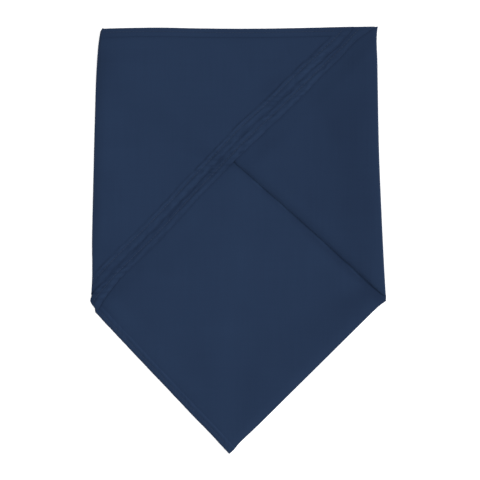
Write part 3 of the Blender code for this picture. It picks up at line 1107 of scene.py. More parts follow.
@dataclass(frozen=True)
class Poplin:
    """Dyed cotton poplin: a fine plain weave with slightly uneven yarns, matt, with a faint bloom.

    Args:
        colour: its colour, in linear light.
        warp: the distance between two warp yarns.
        weft: the distance between two weft yarns.
        contrast: how far each part of the colour goes to dark and to pale.
        yarn_height: how high the weave stands.
        warp_slubs: how fine the warp's slubs are, across and along the yarns' own width.
        weft_slubs: the same for the weft.
        fading_scale: how fine the fading is.
        fuzz_scale: how fine the fuzz is.
        yarn_mean: the mean height of the weave.
        yarn_shade: how much the weave shades the cloth.
        slub_shade: how much the slubs of the warp and of the weft do.
        fading_shade: how much the fading does.
        fuzz_shade: how much the fuzz does.
        painted_shade_strength: how much the painted light and shade and the painted patches do.
        fuzz_height: how high the fuzz stands, to 1 for the weave.
        slub_height: how high the slubs do.
        roughness: the cloth's roughness, and what the fuzz adds.
    """

    colour: tuple[float, float, float] = (0.0091, 0.0225, 0.0561)
    warp: float = 0.30 * MM
    weft: float = 0.42 * MM
    contrast: tuple[float, float, float] = (0.32, 0.256, 0.20)
    yarn_height: float = 0.05 * MM
    warp_slubs: tuple[float, float] = (900, 18)
    weft_slubs: tuple[float, float] = (15, 700)
    fading_scale: float = 22.0
    fuzz_scale: float = 2600.0
    yarn_mean: float = 0.6
    yarn_shade: float = 0.19
    slub_shade: tuple[float, float] = (0.28, 0.16)
    fading_shade: float = 0.34
    fuzz_shade: float = 0.16
    painted_shade_strength: float = 0.156
    fuzz_height: float = 0.5
    slub_height: float = 0.35
    roughness: tuple[float, float] = (0.80, 0.14)

    def build(self, name: str) -> Material:
        """Makes the material.

        Args:
            name: the material's name.

        Returns:
            The material.
        """
        graph = Graph(name)
        place = graph.attribute("cloth", "Vector")
        u, v, _ = graph.split(place)
        across = (u * (math.pi / self.warp)).sine()
        along = (v * (math.pi / self.weft)).sine()
        over = 0.5 + 0.5 * across * along
        yarns = abs(across) * over + abs(along) * (1 - over)
        warp, weft = (
            graph.noise(graph.join(u * fine_u, v * fine_v), 1.0, 1.0)
            for fine_u, fine_v in (self.warp_slubs, self.weft_slubs)
        )
        fading = graph.noise(graph.join(u, v), self.fading_scale)
        fuzz = graph.noise(graph.join(u, v), self.fuzz_scale)
        # The painted light and shade of each point, with its painted patches, read from the mesh.
        painted_shade_and_patches = graph.attribute("painted_shade_and_patches", "Fac")
        shade = 0.5 + self.yarn_shade * (yarns - self.yarn_mean)
        shade = shade + self.slub_shade[0] * (warp - 0.5) + self.slub_shade[1] * (weft - 0.5)
        shade = shade + self.fading_shade * (fading - 0.5) + self.fuzz_shade * (fuzz - 0.5)
        shade = shade + self.painted_shade_strength * painted_shade_and_patches
        dark = [channel * (1 - contrast) for channel, contrast in zip(self.colour, self.contrast)]
        light = [channel * (1 + contrast) for channel, contrast in zip(self.colour, self.contrast)]
        height = yarns + self.fuzz_height * fuzz + self.slub_height * (warp + weft)
        bumps = graph.node(
            "ShaderNodeBump", {}, {"Strength": 0.35, "Distance": self.yarn_height, "Height": height}
        )
        return graph.dress(
            {
                "Metallic": 0.0,
                "Specular IOR Level": 0.16,
                "Sheen Weight": 0.05,
                "Sheen Roughness": 0.55,
                "Sheen Tint": (0.55, 0.68, 1.0, 1.0),
            },
            {
                "Base Color": graph.blend(shade, dark, light),
                "Roughness": self.roughness[0] + self.roughness[1] * fuzz,
                "Normal": Wire(graph, bumps.outputs[0]),
            },
        )


@dataclass(frozen=True)
class SewingThread:
    """Twisted polyester thread, a shade lighter than the cloth and a little glossier.

    Args:
        colour: its colour, in linear light.
        twist: the distance between two turns of its twist.
        contrast: how far the colour goes to dark and to pale.
        strand_shade: how much the twist shades it.
        spot_shade: how much small spots do.
        spot_scale: how fine they are.
    """

    colour: tuple[float, float, float] = (0.0098, 0.0240, 0.0590)
    twist: float = 0.35 * MM
    contrast: float = 0.2
    strand_shade: float = 0.2
    spot_shade: float = 0.5
    spot_scale: float = 900.0

    def build(self, name: str) -> Material:
        """Makes the material.

        Args:
            name: the material's name.

        Returns:
            The material.
        """
        graph = Graph(name)
        place = graph.node("ShaderNodeTexCoord", {}, {})
        x, y, z = graph.split(Wire(graph, place.outputs["Object"]))
        strands = ((x + y + 2 * z) * (2 * math.pi / self.twist)).sine()
        spots = graph.noise(graph.join(x, y), self.spot_scale)
        dark = [channel * (1 - self.contrast) for channel in self.colour]
        light = [channel * (1 + self.contrast) for channel in self.colour]
        shade = 0.5 + self.strand_shade * strands + self.spot_shade * (spots - 0.5)
        bumps = graph.node(
            "ShaderNodeBump", {}, {"Strength": 0.4, "Distance": 0.03 * MM, "Height": strands}
        )
        return graph.dress(
            {"Metallic": 0.0, "Specular IOR Level": 0.4},
            {
                "Base Color": graph.blend(shade, dark, light),
                "Roughness": 0.55 + 0.15 * spots,
                "Normal": Wire(graph, bumps.outputs[0]),
            },
        )


@dataclass(frozen=True)
class FloorPaint:
    """Plain white studio floor that glows a little, so that the shadow beside the cloth stays pale.

    Args:
        colour: its colour, in linear light.
        glow: how much it glows.
        paler: how much paler its palest spots are.
        grain: how fine its spots are.
    """

    colour: tuple[float, float, float] = (0.90, 0.90, 0.90)
    glow: float = 0.35
    paler: float = 1.01
    grain: float = 6.0

    def build(self, name: str) -> Material:
        """Makes the material.

        Args:
            name: the material's name.

        Returns:
            The material.
        """
        graph = Graph(name)
        place = graph.node("ShaderNodeTexCoord", {}, {})
        grain = graph.noise(Wire(graph, place.outputs["Object"]), self.grain)
        pale = [channel * self.paler for channel in self.colour]
        return graph.dress(
            {
                "Specular IOR Level": 0.1,
                "Emission Color": (1.0, 1.0, 1.0, 1.0),
                "Emission Strength": self.glow,
            },
            {"Base Color": graph.blend(grain, self.colour, pale), "Roughness": 0.85 + 0.1 * grain},
        )


# --- The pieces of the bandana ---


class Ply(Enum):
    """The two plies of the left flap."""

    UNDER = "left_flap_under"
    TOP = "left_flap_top"


BAND_TUCKS = (
    tuck((-23.2, 58.6), (-18.4, 58.8), wide=0.7, deep=0.3),
    tuck((-24.4, 55.8), (-19.4, 55.6), wide=0.7, deep=0.3),
    tuck((-26.2, 52.9), (-20.9, 52.9), wide=0.7, deep=0.3),
)


@dataclass(frozen=True)
class LeftFlap:
    """The left tip, folded in last: its outer ply on top, and its inner ply, which shows as the lower hem.

    Args:
        fold_radius: how far out the outer ply turns round the left fold.
        fold_middle: how high the outer ply's fold is widest.
        fold_foot: how far the outer ply turns in again by the floor.
        fold_tuck: how far it then runs on under the bundle.
        inner_fold: by how much the inner ply turns tighter, in from its hem.
        inner_middle: how high its fold is widest.
        inner_foot: how far it turns in by the floor and runs on under the bundle.
        inner_falls: how it starts to run down its fold, in from its hem.
        inner_floor: how high over the floor it ends, in from its hem.
        corner_lift: how far it stands up by the left corner.
        fold_share: the share of a fold's width that the cloth in it takes up at most.
        least_fold: how far the cloth's inner face goes round the fold at least.
        last_row: how far in from the hem the last row lies, in the upper left corner.
        corner_rows: over how much of that the outer ply's rows lie close together again.
        corner_count: how many rows lie there.
        under_fine: how far in the inner ply's close rows go.
        under_step: how far apart its other rows lie at most.
        hem_span: how far down from the top edge the places in a row lie close together.
        hem_share: the share of a short row that they take up at most.
        columns: how many places a row has up to there and past it.
        rest: the gap under each ply.
        loft: how far the outer ply stands off the inner one inside the flap.
        under_loft: how far the inner ply stands off what it lies on.
        loft_in: how the plies start to stand off, in from the outer ply's hem.
        loft_down: the same, down from the top edge.
        swell: how high the soft swells of the outer ply stand.
        swell_pitch: how far apart they are.
        droop_reach: how far in from the fold the cloth starts to come down to it.
        droop_power: how late it comes down.
        bulk: how far the cloth tucked in at the fold lifts the inner ply.
        corner_bulk: how much further by the left corner.
        corner_bulk_in: the same, in from the hem.
        bulk_ends: how the tucked cloth thins out, in from the fold.
        bias_hem: each ply's hem, which runs at 45 degrees.
        top_hem: the hem of the top edge.
        hem_blend: the distance over which the nearer hem takes over where two cross.
        hem_cross: how far in from both the hems are clear of each other.
        calm: how much flatter the bias hems lie in the upper right corner.
        rim: how much painted shade darkens a hem's very edge.
        step: how much painted shadow darkens the inner ply right under the outer ply's hem.
        step_change: how uneven that is.
        inner_shade: how much painted shade darkens the inner ply's hem by its inner ridge, over t.
        inner_ridge: where that is, in from its edge.
        smooth: how the inner ply's relief ends under the outer ply.
        bias_ends: how far from the fold and from the top edge a bias hem's stitching ends.
        bias_step: how far apart the places of its line are.
        top_line_start: how far in from the fold the top hem's stitching starts.
        top_line_end: how far across the bundle it ends at most.
        top_line_clear: how far it keeps from the bias hem, to 1 for its distance in from the top edge.
        follow_rounds: how many rounds it takes to find where a row ends.
        follow_share: the share of the way that each round goes.
        top_tucks: small troughs in the outer ply.
        under_tucks: small troughs in the inner ply.
        under_patches: painted shadow in the inner ply's small troughs, and darker patches painted on its hem.
        top_patches: paler and darker patches painted on the outer ply, among them a painted highlight along
            its hem's ridge and painted shade along the hem.
    """

    fold_radius: float = 2.0 * MM
    fold_middle: float = 1.4 * MM
    fold_foot: float = 1.1 * MM
    fold_tuck: float = 0.9 * MM
    inner_fold: Ramp = Ramp(start=8 * MM, run=3 * MM, height=1.3 * MM)
    inner_middle: float = 1.2 * MM
    inner_foot: float = 0.3 * MM
    inner_falls: Ramp = Ramp(start=9 * MM, run=8 * MM)
    inner_floor: Ramp = Ramp(start=9.5 * MM, run=1.6 * MM, height=0.6 * MM)
    corner_lift: Ramp = Ramp(start=-54.5 * MM, run=-2.5 * MM, height=1.4 * MM)
    fold_share: float = 0.6
    least_fold: float = 0.15 * MM
    last_row: float = 155.0 * MM
    corner_rows: float = 20 * MM
    corner_count: int = 20
    under_fine: float = 13 * MM
    under_step: float = 9 * MM
    hem_span: float = 14 * MM
    hem_share: float = 0.8
    columns: tuple[int, int] = (350, 27)
    rest: float = 0.12 * MM
    loft: float = 0.4 * MM
    under_loft: float = 0.3 * MM
    loft_in: Ramp = Ramp(start=9 * MM, run=26 * MM)
    loft_down: Ramp = Ramp(start=8 * MM, run=24 * MM)
    swell: float = 0.1 * MM
    swell_pitch: float = 46 * MM
    droop_reach: float = 11 * MM
    droop_power: float = 3.2
    bulk: float = 0.45 * MM
    corner_bulk: Ramp = Ramp(start=-5 * MM, run=-45 * MM, height=0.9 * MM)
    corner_bulk_in: Ramp = Ramp(start=0, run=8 * MM)
    bulk_ends: Ramp = Ramp(start=37 * MM, run=-25 * MM)
    bias_hem: dict[Ply, Hem] = field(
        default_factory=lambda: {
            Ply.UNDER: Hem(
                seed=Seed.UNDER_HEM, stitch_line=6.7 * MM, inner_ridge=9.2 * MM, width=12.2 * MM
            ),
            Ply.TOP: Hem(seed=Seed.TOP_BIAS_HEM, outer_ridge=3.9 * MM, inner_ridge=7.8 * MM),
        }
    )
    top_hem: Hem = Hem(
        seed=Seed.TOP_HEM, pucker=0.04 * MM, slant=0.4, ridge=0.12 * MM, valley=0.12 * MM,
        rounding=0.15 * MM, outer_ridge=2.2 * MM, stitch_line=3.3 * MM, inner_ridge=5.5 * MM,
        width=7.5 * MM,
    )
    hem_blend: float = 3 * MM
    hem_cross: float = 12 * MM
    calm: Ramp = Ramp(start=148 * MM, run=22 * MM, height=0.55)
    rim: Mound = Mound(height=0.6, at=0, width=0.8 * MM)
    step: Mound = Mound(height=1.3, at=-0.4 * MM, width=1.0 * MM)
    step_change: Uneven = Uneven(swing=0.6, pitch=5 * MM)
    inner_shade: SmoothLine = SmoothLine(
        (
            Spot(at=-120 * MM, off=-1.2), Spot(at=30 * MM, off=-1.2), Spot(at=65 * MM, off=-0.3),
            Spot(at=120 * MM, off=-0.3), Spot(at=150 * MM, off=-0.9), Spot(at=200 * MM, off=-1.3),
        )
    )
    inner_ridge: Mound = Mound(height=1, at=9 * MM, width=3.2 * MM)
    smooth: Ramp = Ramp(start=12.2 * MM, run=-1.8 * MM)
    bias_ends: tuple[float, float] = (0.5 * MM, 1 * MM)
    bias_step: float = 0.4 * MM
    top_line_start: float = 3 * MM
    top_line_end: float = 92 * MM
    top_line_clear: float = 1.5
    follow_rounds: int = 25
    follow_share: float = 0.6
    top_tucks: tuple[Stroke, ...] = (
        tuck((37, 168), (43, 152), wide=1.4, deep=0.2),
    )
    under_tucks: tuple[Stroke, ...] = BAND_TUCKS
    under_patches: tuple[Stroke, ...] = (
        # Painted shadow in the three small tucks.
        *(replace(each, width=0.9 * MM, height=-2.0) for each in BAND_TUCKS),
        patch((-54, 22), (-24, 52), wide=3.5, pale=-0.8),
        patch((-93.5, -19.7), (4, 78), wide=4, pale=-0.5),
        patch((-117, -50), (-86, -19), wide=6, pale=-0.9),
        patch((80, 148), (106, 174), wide=7, pale=-0.9),
        patch((82, 160), (92, 170), wide=5, pale=-0.7),
    )
    top_patches: tuple[Stroke, ...] = (
        patch((-106, 172), (-106, 148), wide=12, pale=-0.9),
        patch((-104, 130), (-104, 110), wide=12, pale=0.5),
        patch((-112, 84), (-92, 82), wide=8, pale=-0.6),
        patch((-108, -40), (-104, 0), wide=9, pale=-0.8),
        patch((-121, -42), (-73, 0), wide=6, pale=-0.5),
        patch((-90, 150), (-30, 150), wide=25, pale=0.3),
        patch((-80, 112), (-74, 98), wide=10, pale=0.6),
        patch((-40, 105), (20, 105), wide=18, pale=-0.4),
        patch((-104, 172), (-70, 174), wide=5, pale=-1.0),
        patch((-18, 174), (8, 174), wide=5, pale=-1.0),
        patch((10, 150), (20, 132), wide=9, pale=-0.5),
        # A painted highlight along the hem's ridge, and painted shade along the hem beside it.
        patch((3, 93.5), (44, 134.5), wide=1.1, pale=1.5),
        patch((-100, -13.2), (-1, 85.8), wide=1.4, pale=-0.6),
        patch((-104, 151), (-84, 153), wide=7, pale=-0.7),
        patch((-78, 167), (-72, 167), wide=5, pale=-0.4),
        patch((-12, 167), (12, 167), wide=5, pale=-0.4),
        patch((-112, -12), (-110, -28), wide=7, pale=-0.6),
        patch((-4, 72), (18, 92), wide=5, pale=-0.6),
        patch((36, 150), (58, 163), wide=6, pale=-0.6),
        patch((-78, 24), (-45, 52), wide=10, pale=-0.45),
        patch((28, 129), (89, 174), wide=6.5, pale=-0.9),
        patch((66, 174), (101, 174), wide=6, pale=-1.2),
        # Painted shade along the hem's groove.
        patch((20.3, 114), (67.7, 158.5), wide=1.3, pale=-1.0),
    )

    def start_inside(self, ply: Ply) -> float:
        """How far the ply's hem edge lies in from the under ply's."""
        return BUNDLE.ply_lag if ply is Ply.TOP else 0.0

    def follow(self, inside: Array, to_fold: bool) -> Array:
        """Follows rows of the flap to where they start to turn round the fold, or to the top edge.

        Args:
            inside: the rows, as distances in from the under ply's hem edge.
            to_fold: true for the fold, false for the top edge.

        Returns:
            The t of each row there.
        """
        t = np.zeros_like(inside)
        nose = self.top_hem.thick / 2
        for _ in range(self.follow_rounds):
            x, y = BUNDLE.on_flap(inside, t)
            left = BUNDLE.left_fold(y) + self.fold_radius - x if to_fold else BUNDLE.top_edge(x) - nose - y
            t = t + self.follow_share * ROOT2 * left
        return t

    def height(self, ply: Ply, inside: Array, t: Array, x: Array, y: Array) -> tuple[Array, Array, Array]:
        """Gives the heights of a ply's two faces, and how much paler or darker it is painted.

        Args:
            ply: the ply.
            inside: distances in from the under ply's hem edge.
            t: distances along the hem.
            x: the same places, across the bundle.
            y: the same places, along it.

        Returns:
            The height of the upper face, that of the lower face, and the painted light and shade of each
            place.
        """
        own = inside - self.start_inside(ply)
        from_top = BUNDLE.top_edge(x) - y
        past_turn = x - BUNDLE.left_fold(y) - self.fold_radius
        hem = self.bias_hem[ply]
        out_of_fold = 1 - np.clip(1 - past_turn / self.droop_reach, 0, 1) ** self.droop_power
        puff = self.loft_in(inside - self.start_inside(Ply.TOP)) * self.loft_down(from_top) * out_of_fold
        bias = hem.relief(own, t) * (1 - self.calm(t))
        top = self.top_hem.relief(from_top, x)
        nearer = ease((from_top - own) / self.hem_blend + 0.5)
        crossing = np.minimum(own, from_top) <= self.hem_cross
        relief = np.where(crossing, nearer * bias + (1 - nearer) * top, bias + top)
        # Painted shade that follows the relief, paler on ridges and darker in hollows, and a painted dark
        # line along the hem's very edge.
        painted_shade_and_patches = relief / RELIEF_PER_PAINTED_SHADE - self.rim(own)
        if ply is Ply.TOP:
            lower = self.height(Ply.UNDER, inside, t, x, y)[0] + self.rest + self.loft * puff
            swell = self.swell * Billow(Seed.TOP_SWELL, self.swell_pitch)(x, y) * puff
            relief = relief + swell + strokes_at(self.top_tucks, x, y)
            painted_shade_and_patches = painted_shade_and_patches + strokes_at(self.top_patches, x, y)
        else:
            bulk = (self.bulk + self.corner_bulk(y) * self.corner_bulk_in(inside)) * out_of_fold
            lower = BUNDLE.support(x, y) + self.rest + self.under_loft * puff
            lower = lower + bulk * self.bulk_ends(past_turn)
            # Painted shadow under the outer ply's hem, and painted shade by the inner ridge.
            step = (1 + self.step_change(Seed.PLY_STEP, t)) * self.step(inside - BUNDLE.ply_lag)
            painted_shade_and_patches = painted_shade_and_patches + strokes_at(self.under_patches, x, y) - step
            painted_shade_and_patches = painted_shade_and_patches + self.inner_shade(t) * self.inner_ridge(inside)
            relief = (relief + strokes_at(self.under_tucks, x, y)) * self.smooth(inside)
        thickness = hem.cloth + np.maximum(hem.turned(own), self.top_hem.turned(from_top))
        return lower + thickness + relief, lower, painted_shade_and_patches

    def rows(self, ply: Ply) -> Array:
        """Gives where a ply's rows lie, as distances in from the under ply's hem edge.

        Args:
            ply: the ply.

        Returns:
            The distances, in order.
        """
        own = self.start_inside(ply)
        first = own + self.bias_hem[ply].thick / 2
        if ply is Ply.UNDER:
            return spaced_rows(first, self.under_fine, HEM_STEP, self.last_row, self.under_step)
        corner_start = self.last_row - self.corner_rows
        rows = spaced_rows(first, own + FINE_ROWS, HEM_STEP, corner_start, FLAT_STEP)
        return np.concatenate([rows, np.linspace(corner_start, self.last_row, self.corner_count + 1)[1:]])

    def places(self, rows: Array) -> Array:
        """Gives the places along some rows, from the fold to the top edge.

        Args:
            rows: the rows, as distances in from the under ply's hem edge.

        Returns:
            The t of each place, rows x columns.
        """
        start, end = self.follow(rows, True)[:, None], self.follow(rows, False)[:, None]
        hem_part = np.minimum(self.hem_span, self.hem_share * (end - start))
        middle = np.linspace(0, 1, self.columns[0], endpoint=False)
        near = np.linspace(0, 1, self.columns[1])
        middle = start + (end - hem_part - start) * middle
        return np.concatenate([middle, end - hem_part * (1 - near)], axis=1)

    def turn(self, ply: Ply, rows: Array, first_y: Array) -> tuple[FoldTurn, Array, Array]:
        """Gives how a ply's rows go round the left fold.

        Args:
            ply: the ply.
            rows: the rows, as distances in from the under ply's hem edge.
            first_y: how far along the bundle each row starts to turn down.

        Returns:
            The turn, how far out each row reaches, and how low it goes.
        """
        turn = FoldTurn(
            side=Side.LEFT, line=BUNDLE.left_fold, middle=self.fold_middle, foot=self.fold_foot,
            tuck=self.fold_tuck, falls=1,
        )
        floor = np.zeros(len(rows))
        radius = np.full(len(rows), self.fold_radius)
        if ply is Ply.UNDER:
            radius = radius - self.inner_fold(rows)
            lifted = self.corner_lift(first_y)
            floor = self.inner_floor(rows) + lifted
            middle = self.inner_middle + (self.fold_share * lifted)[:, None]
            falls = self.inner_falls(rows)[:, None]
            turn = replace(turn, middle=middle, foot=self.inner_foot, tuck=self.inner_foot, falls=falls)
        return turn, radius, floor

    def sheet(self, ply: Ply) -> Sheet:
        """Gives one ply as a sheet of cloth.

        Args:
            ply: the ply.

        Returns:
            The sheet, from its fold on the floor, round and over to the top edge.
        """
        rows = self.rows(ply)
        t = self.places(rows)
        inside = np.broadcast_to(rows[:, None], t.shape)
        x, y = BUNDLE.on_flap(inside, t)
        upper, lower, painted_shade_and_patches = self.height(ply, inside, t, x, y)
        flat = np.stack([x, y, upper], axis=2)
        under = np.stack([x, y, lower], axis=2)
        turn, radius, floor = self.turn(ply, rows, y[:, 0])
        hem_here = np.minimum(upper[:, 0] - lower[:, 0], self.fold_share * radius)
        inner_radius = np.maximum(radius - hem_here, self.least_fold)
        inner_floor = floor + self.bias_hem[ply].cloth
        outer_fold = turn.path(flat[:, 0], radius, floor)
        inner_fold = turn.path(under[:, 0], inner_radius, inner_floor, self.fold_share)
        fold_painted_shade = np.repeat(painted_shade_and_patches[:, :1], outer_fold.shape[1], axis=1)
        along_cloth = x[:, :1] - cloth_length(flat[:, :1], outer_fold) / ROOT2
        fold_cloth = np.stack([along_cloth, outer_fold[..., 1]], axis=2)
        return Sheet(
            name=f"{ply.value}_cloth",
            outer=np.concatenate([outer_fold[:, ::-1], flat], axis=1),
            inner=np.concatenate([inner_fold[:, ::-1], under], axis=1),
            cloth=np.concatenate([fold_cloth[:, ::-1], np.stack([x, y], axis=2)], axis=1),
            painted_shade_and_patches=np.concatenate([fold_painted_shade[:, ::-1], painted_shade_and_patches], axis=1),
            plain_column=0,
        )

    def bias_line(self, ply: Ply) -> Array:
        """Gives the line that the topstitching of a ply's bias hem follows.

        Args:
            ply: the ply.

        Returns:
            Its places, one row of three for each.
        """
        row = np.array([self.start_inside(ply) + self.bias_hem[ply].stitch_line])
        first = self.follow(row, True)[0] + self.bias_ends[0]
        t = np.arange(first, self.follow(row, False)[0] - self.bias_ends[1], self.bias_step)
        inside = np.full_like(t, row[0])
        x, y = BUNDLE.on_flap(inside, t)
        return np.stack([x, y, self.height(ply, inside, t, x, y)[0]], axis=1)

    def top_line(self) -> Array:
        """Gives the line that the topstitching of the outer ply's top hem follows.

        Returns:
            Its places, one row of three for each.
        """
        first = BUNDLE.left_fold(BUNDLE.top_right.y) + self.top_line_start
        x = np.arange(first, self.top_line_end, STITCH_STEP)
        y = BUNDLE.top_edge(x) - self.top_hem.stitch_line
        inside = BUNDLE.under_hem_n - (x - y) / ROOT2
        kept = inside > BUNDLE.ply_lag + self.top_line_clear * self.top_hem.stitch_line
        x, y, inside = x[kept], y[kept], inside[kept]
        t = (x + y) / ROOT2
        return np.stack([x, y, self.height(Ply.TOP, inside, t, x, y)[0]], axis=1)

    def build(self, cloth: Material, thread: Material) -> list[Piece]:
        """Builds both plies and their stitching.

        Args:
            cloth: the cloth's finish.
            thread: the thread's finish.

        Returns:
            The new pieces.
        """
        under = self.sheet(Ply.UNDER).build(cloth)
        top = self.sheet(Ply.TOP).build(cloth)
        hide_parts("left_flap_under")
        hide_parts("left_flap_top")
        sewing = Stitching()
        under_thread = sewing.build("left_flap_under_stitching", [self.bias_line(Ply.UNDER)], thread)
        top_lines = [self.bias_line(Ply.TOP), self.top_line()]
        top_thread = sewing.build("left_flap_top_stitching", top_lines, thread)
        return [under, top, under_thread, top_thread]


@dataclass(frozen=True)
class RightFlap:
    """The right tip, folded in first: two plies with a clean, pressed fold along their lower left edge.

    Args:
        thick: how thick the two plies are.
        nose: how far the clean edge's soft rim stands out.
        clean_start: how far from the right corner the first row starts.
        corner_shares: the shares of the flap's length at which the rows by the corner start.
        row_start: the share at which the other rows start.
        row_count: how many other rows there are.
        edge_span: how far in from the clean edge the places in a row lie close together.
        edge_share: the share of a short row that they take up at most.
        columns: how many places a row has up to there and past it.
        fold_radius: how far out the plies turn round the right fold.
        fold_middle: how high the fold is widest.
        fold_foot: how far it turns in again by the floor.
        fold_tuck: how far it then runs on under the bundle.
        fold_wall: how thick the plies are there.
        fold_gap: how thin they are there at least.
        reach: how the fold comes down to the floor, along the bundle.
        foot_rest: the gap under it where it lies on the base instead.
        roll: how far the plies roll down towards the clean edge under the left flap.
        roll_reach: how far in from the edge that starts.
        full: how much less near the right corner.
        rounding: how far the edge's very rim is rounded down.
        rounding_reach: how far in it is rounded.
        rounding_change: how uneven that is.
        loft: how far the flap stands up clear of the left one.
        fold_crest: how it swells beside the right fold.
        crest_in: the same, in from the clean edge.
        fold_droop: how far it comes down to the fold.
        droop_reach: how far in from the fold that starts.
        trough: how it sags outside the left flap's hem.
        swell: how high its soft swells stand.
        swell_pitch: how far apart they are.
        sag_share: the share of the base's sag that its underside follows.
        ply_edges: how far below the slanted top edge its rim starts to show two plies.
        painted_flap_shade: how much painted shade darkens it all over.
        rim_painted_light: how much painted light brightens it beside the clean edge.
        rim_light_grows: how that grows from the right corner.
        rim_painted_highlight: the painted highlight on the edge's very rim.
        patches: its painted paler and darker patches, with painted shade towards the right fold and painted
            light by the right corner.
    """

    thick: float = 1.5 * MM
    nose: float = 0.4 * MM
    clean_start: float = 2.6 * MM
    corner_shares: tuple[float, ...] = (0, 0.003, 0.006, 0.010, 0.014, 0.019, 0.024, 0.03)
    row_start: float = 0.037
    row_count: int = 150
    edge_span: float = 9 * MM
    edge_share: float = 0.5
    columns: tuple[int, int] = (22, 90)
    fold_radius: float = 1.5 * MM
    fold_middle: float = 1.6 * MM
    fold_foot: float = 0.45 * MM
    fold_tuck: float = 0.1 * MM
    fold_wall: float = 1.25 * MM
    fold_gap: float = 0.05 * MM
    reach: Ramp = Ramp(start=-44.5 * MM, run=2.0 * MM)
    foot_rest: float = 0.05 * MM
    roll: float = 0.9 * MM
    roll_reach: float = 11.0 * MM
    full: Mound = Mound(height=0.30, at=26 * MM, width=30 * MM)
    rounding: float = 0.45 * MM
    rounding_reach: float = 2.8 * MM
    rounding_change: Uneven = Uneven(swing=0.45, pitch=8 * MM)
    loft: float = 0.9 * MM
    fold_crest: Ramp = Ramp(start=45 * MM, run=-35 * MM, height=0.8 * MM)
    crest_in: Ramp = Ramp(start=0, run=25 * MM)
    fold_droop: float = 0.6 * MM
    droop_reach: float = 10 * MM
    trough: Mound = Mound(height=0.3 * MM, at=0, width=3.5 * MM)
    swell: float = 0.1 * MM
    swell_pitch: float = 38 * MM
    sag_share: float = 0.95
    ply_edges: float = -2 * MM
    painted_flap_shade: float = -0.3
    rim_painted_light: Mound = Mound(height=2.0, at=0, width=2.4 * MM)
    rim_light_grows: Ramp = Ramp(start=0, run=60 * MM)
    rim_painted_highlight: Mound = Mound(height=1.8, at=0, width=0.8 * MM)
    patches: tuple[Stroke, ...] = (
        # Painted shade that darkens the flap towards the right fold.
        patch((104, -5), (98, 80), wide=24, pale=-0.9),
        patch((98, 80), (96, 160), wide=24, pale=-0.6),
        patch((112, 0), (108, 140), wide=7, pale=-0.5),
        patch((72, 96), (66, 30), wide=14, pale=-0.5),
        patch((110, -12), (116, -38), wide=9, pale=0.7),
        patch((42, 46), (58, 34), wide=8, pale=-0.5),
        patch((10, 66), (26, 78), wide=6, pale=-0.6),
        patch((72, 106), (78, 94), wide=7, pale=-0.6),
        patch((95, 82), (95, 38), wide=9, pale=-0.45),
        patch((110, 172), (115, 160), wide=6, pale=-1.0),
        # Painted light by the right corner, in the shadow there.
        patch((117, -42), (122, -47), wide=3.5, pale=1.2),
    )

    def rows(self) -> tuple[Array, Array]:
        """Gives where the rows start, on the clean edge, and where they end, at the right fold.

        Returns:
            The places where they start, rows x 2, and how far along the bundle each ends.
        """
        corner = np.array(BUNDLE.clean_corner)
        run = direction(BUNDLE.clean_corner, BUNDLE.hidden_tip)
        length = math.dist(BUNDLE.clean_corner, BUNDLE.hidden_tip)
        share = np.concatenate([self.corner_shares, np.linspace(self.row_start, 1, self.row_count)])
        along = self.clean_start + (length - self.clean_start - self.nose) * share
        inward = self.nose + BUNDLE.clean_bend(along)
        start = corner + np.outer(along, run) + np.outer(inward, (run[1], -run[0]))
        return start, start[0, 1] + (BUNDLE.top_right.y - 2 * self.nose - start[0, 1]) * share

    def places(self) -> tuple[Array, Array]:
        """Gives the places along the rows, close together by the clean edge.

        Returns:
            The x and the y of each place, rows x columns.
        """
        start, end_y = self.rows()
        width = (BUNDLE.right_fold(end_y) - self.fold_radius - start[:, 0])[:, None]
        near = np.minimum(self.edge_span, self.edge_share * width)
        steps = np.linspace(0, 1, self.columns[0], endpoint=False)
        rest = np.linspace(0, 1, self.columns[1])
        across = np.concatenate([near * steps, near + (width - near) * rest], axis=1) / width
        return start[:, :1] + width * across, start[:, 1:] + (end_y[:, None] - start[:, 1:]) * across

    def height(self, x: Array, y: Array) -> tuple[Array, Array]:
        """Gives the height of the face that shows, and how much paler or darker it is painted.

        Args:
            x: places across the bundle.
            y: places along it.

        Returns:
            The height and the painted light and shade of each place.
        """
        own = -BUNDLE.past_clean_edge(x, y)
        along_edge = BUNDLE.along_clean_edge(x, y)
        from_fold = BUNDLE.right_fold(y) - x - self.fold_radius
        clear = BUNDLE.clear_of_flap(x, y)
        rolled = (self.roll + self.loft * clear) * np.clip(1 - own / self.roll_reach, 0, 1) ** 3
        rolled = rolled * (1 - self.full(along_edge))
        rounding = self.rounding * (1 + self.rounding_change(Seed.CLEAN_EDGE, along_edge))
        rolled = rolled + rounding * np.clip(1 - own / self.rounding_reach, 0, 1) ** 2
        crest = self.fold_crest(from_fold) * self.crest_in(own) * clear
        droop = self.fold_droop * np.clip(1 - from_fold / self.droop_reach, 0, 1) ** 2
        swell = self.swell * Billow(Seed.RIGHT_SWELL, self.swell_pitch)(x, y) * clear
        z = BUNDLE.pair_top + self.loft * clear - rolled - self.trough(BUNDLE.past_flap(x, y))
        # Painted light beside the clean edge with a painted highlight on its rim, painted shade all over, and
        # painted shadow outside the left flap's hem.
        rim = self.rim_painted_light(own) * self.rim_light_grows(along_edge) + self.rim_painted_highlight(own)
        painted_shade_and_patches = strokes_at(self.patches, x, y) + self.painted_flap_shade - BUNDLE.painted_hem_shadow(x, y) + rim
        return z + crest - droop + swell, painted_shade_and_patches

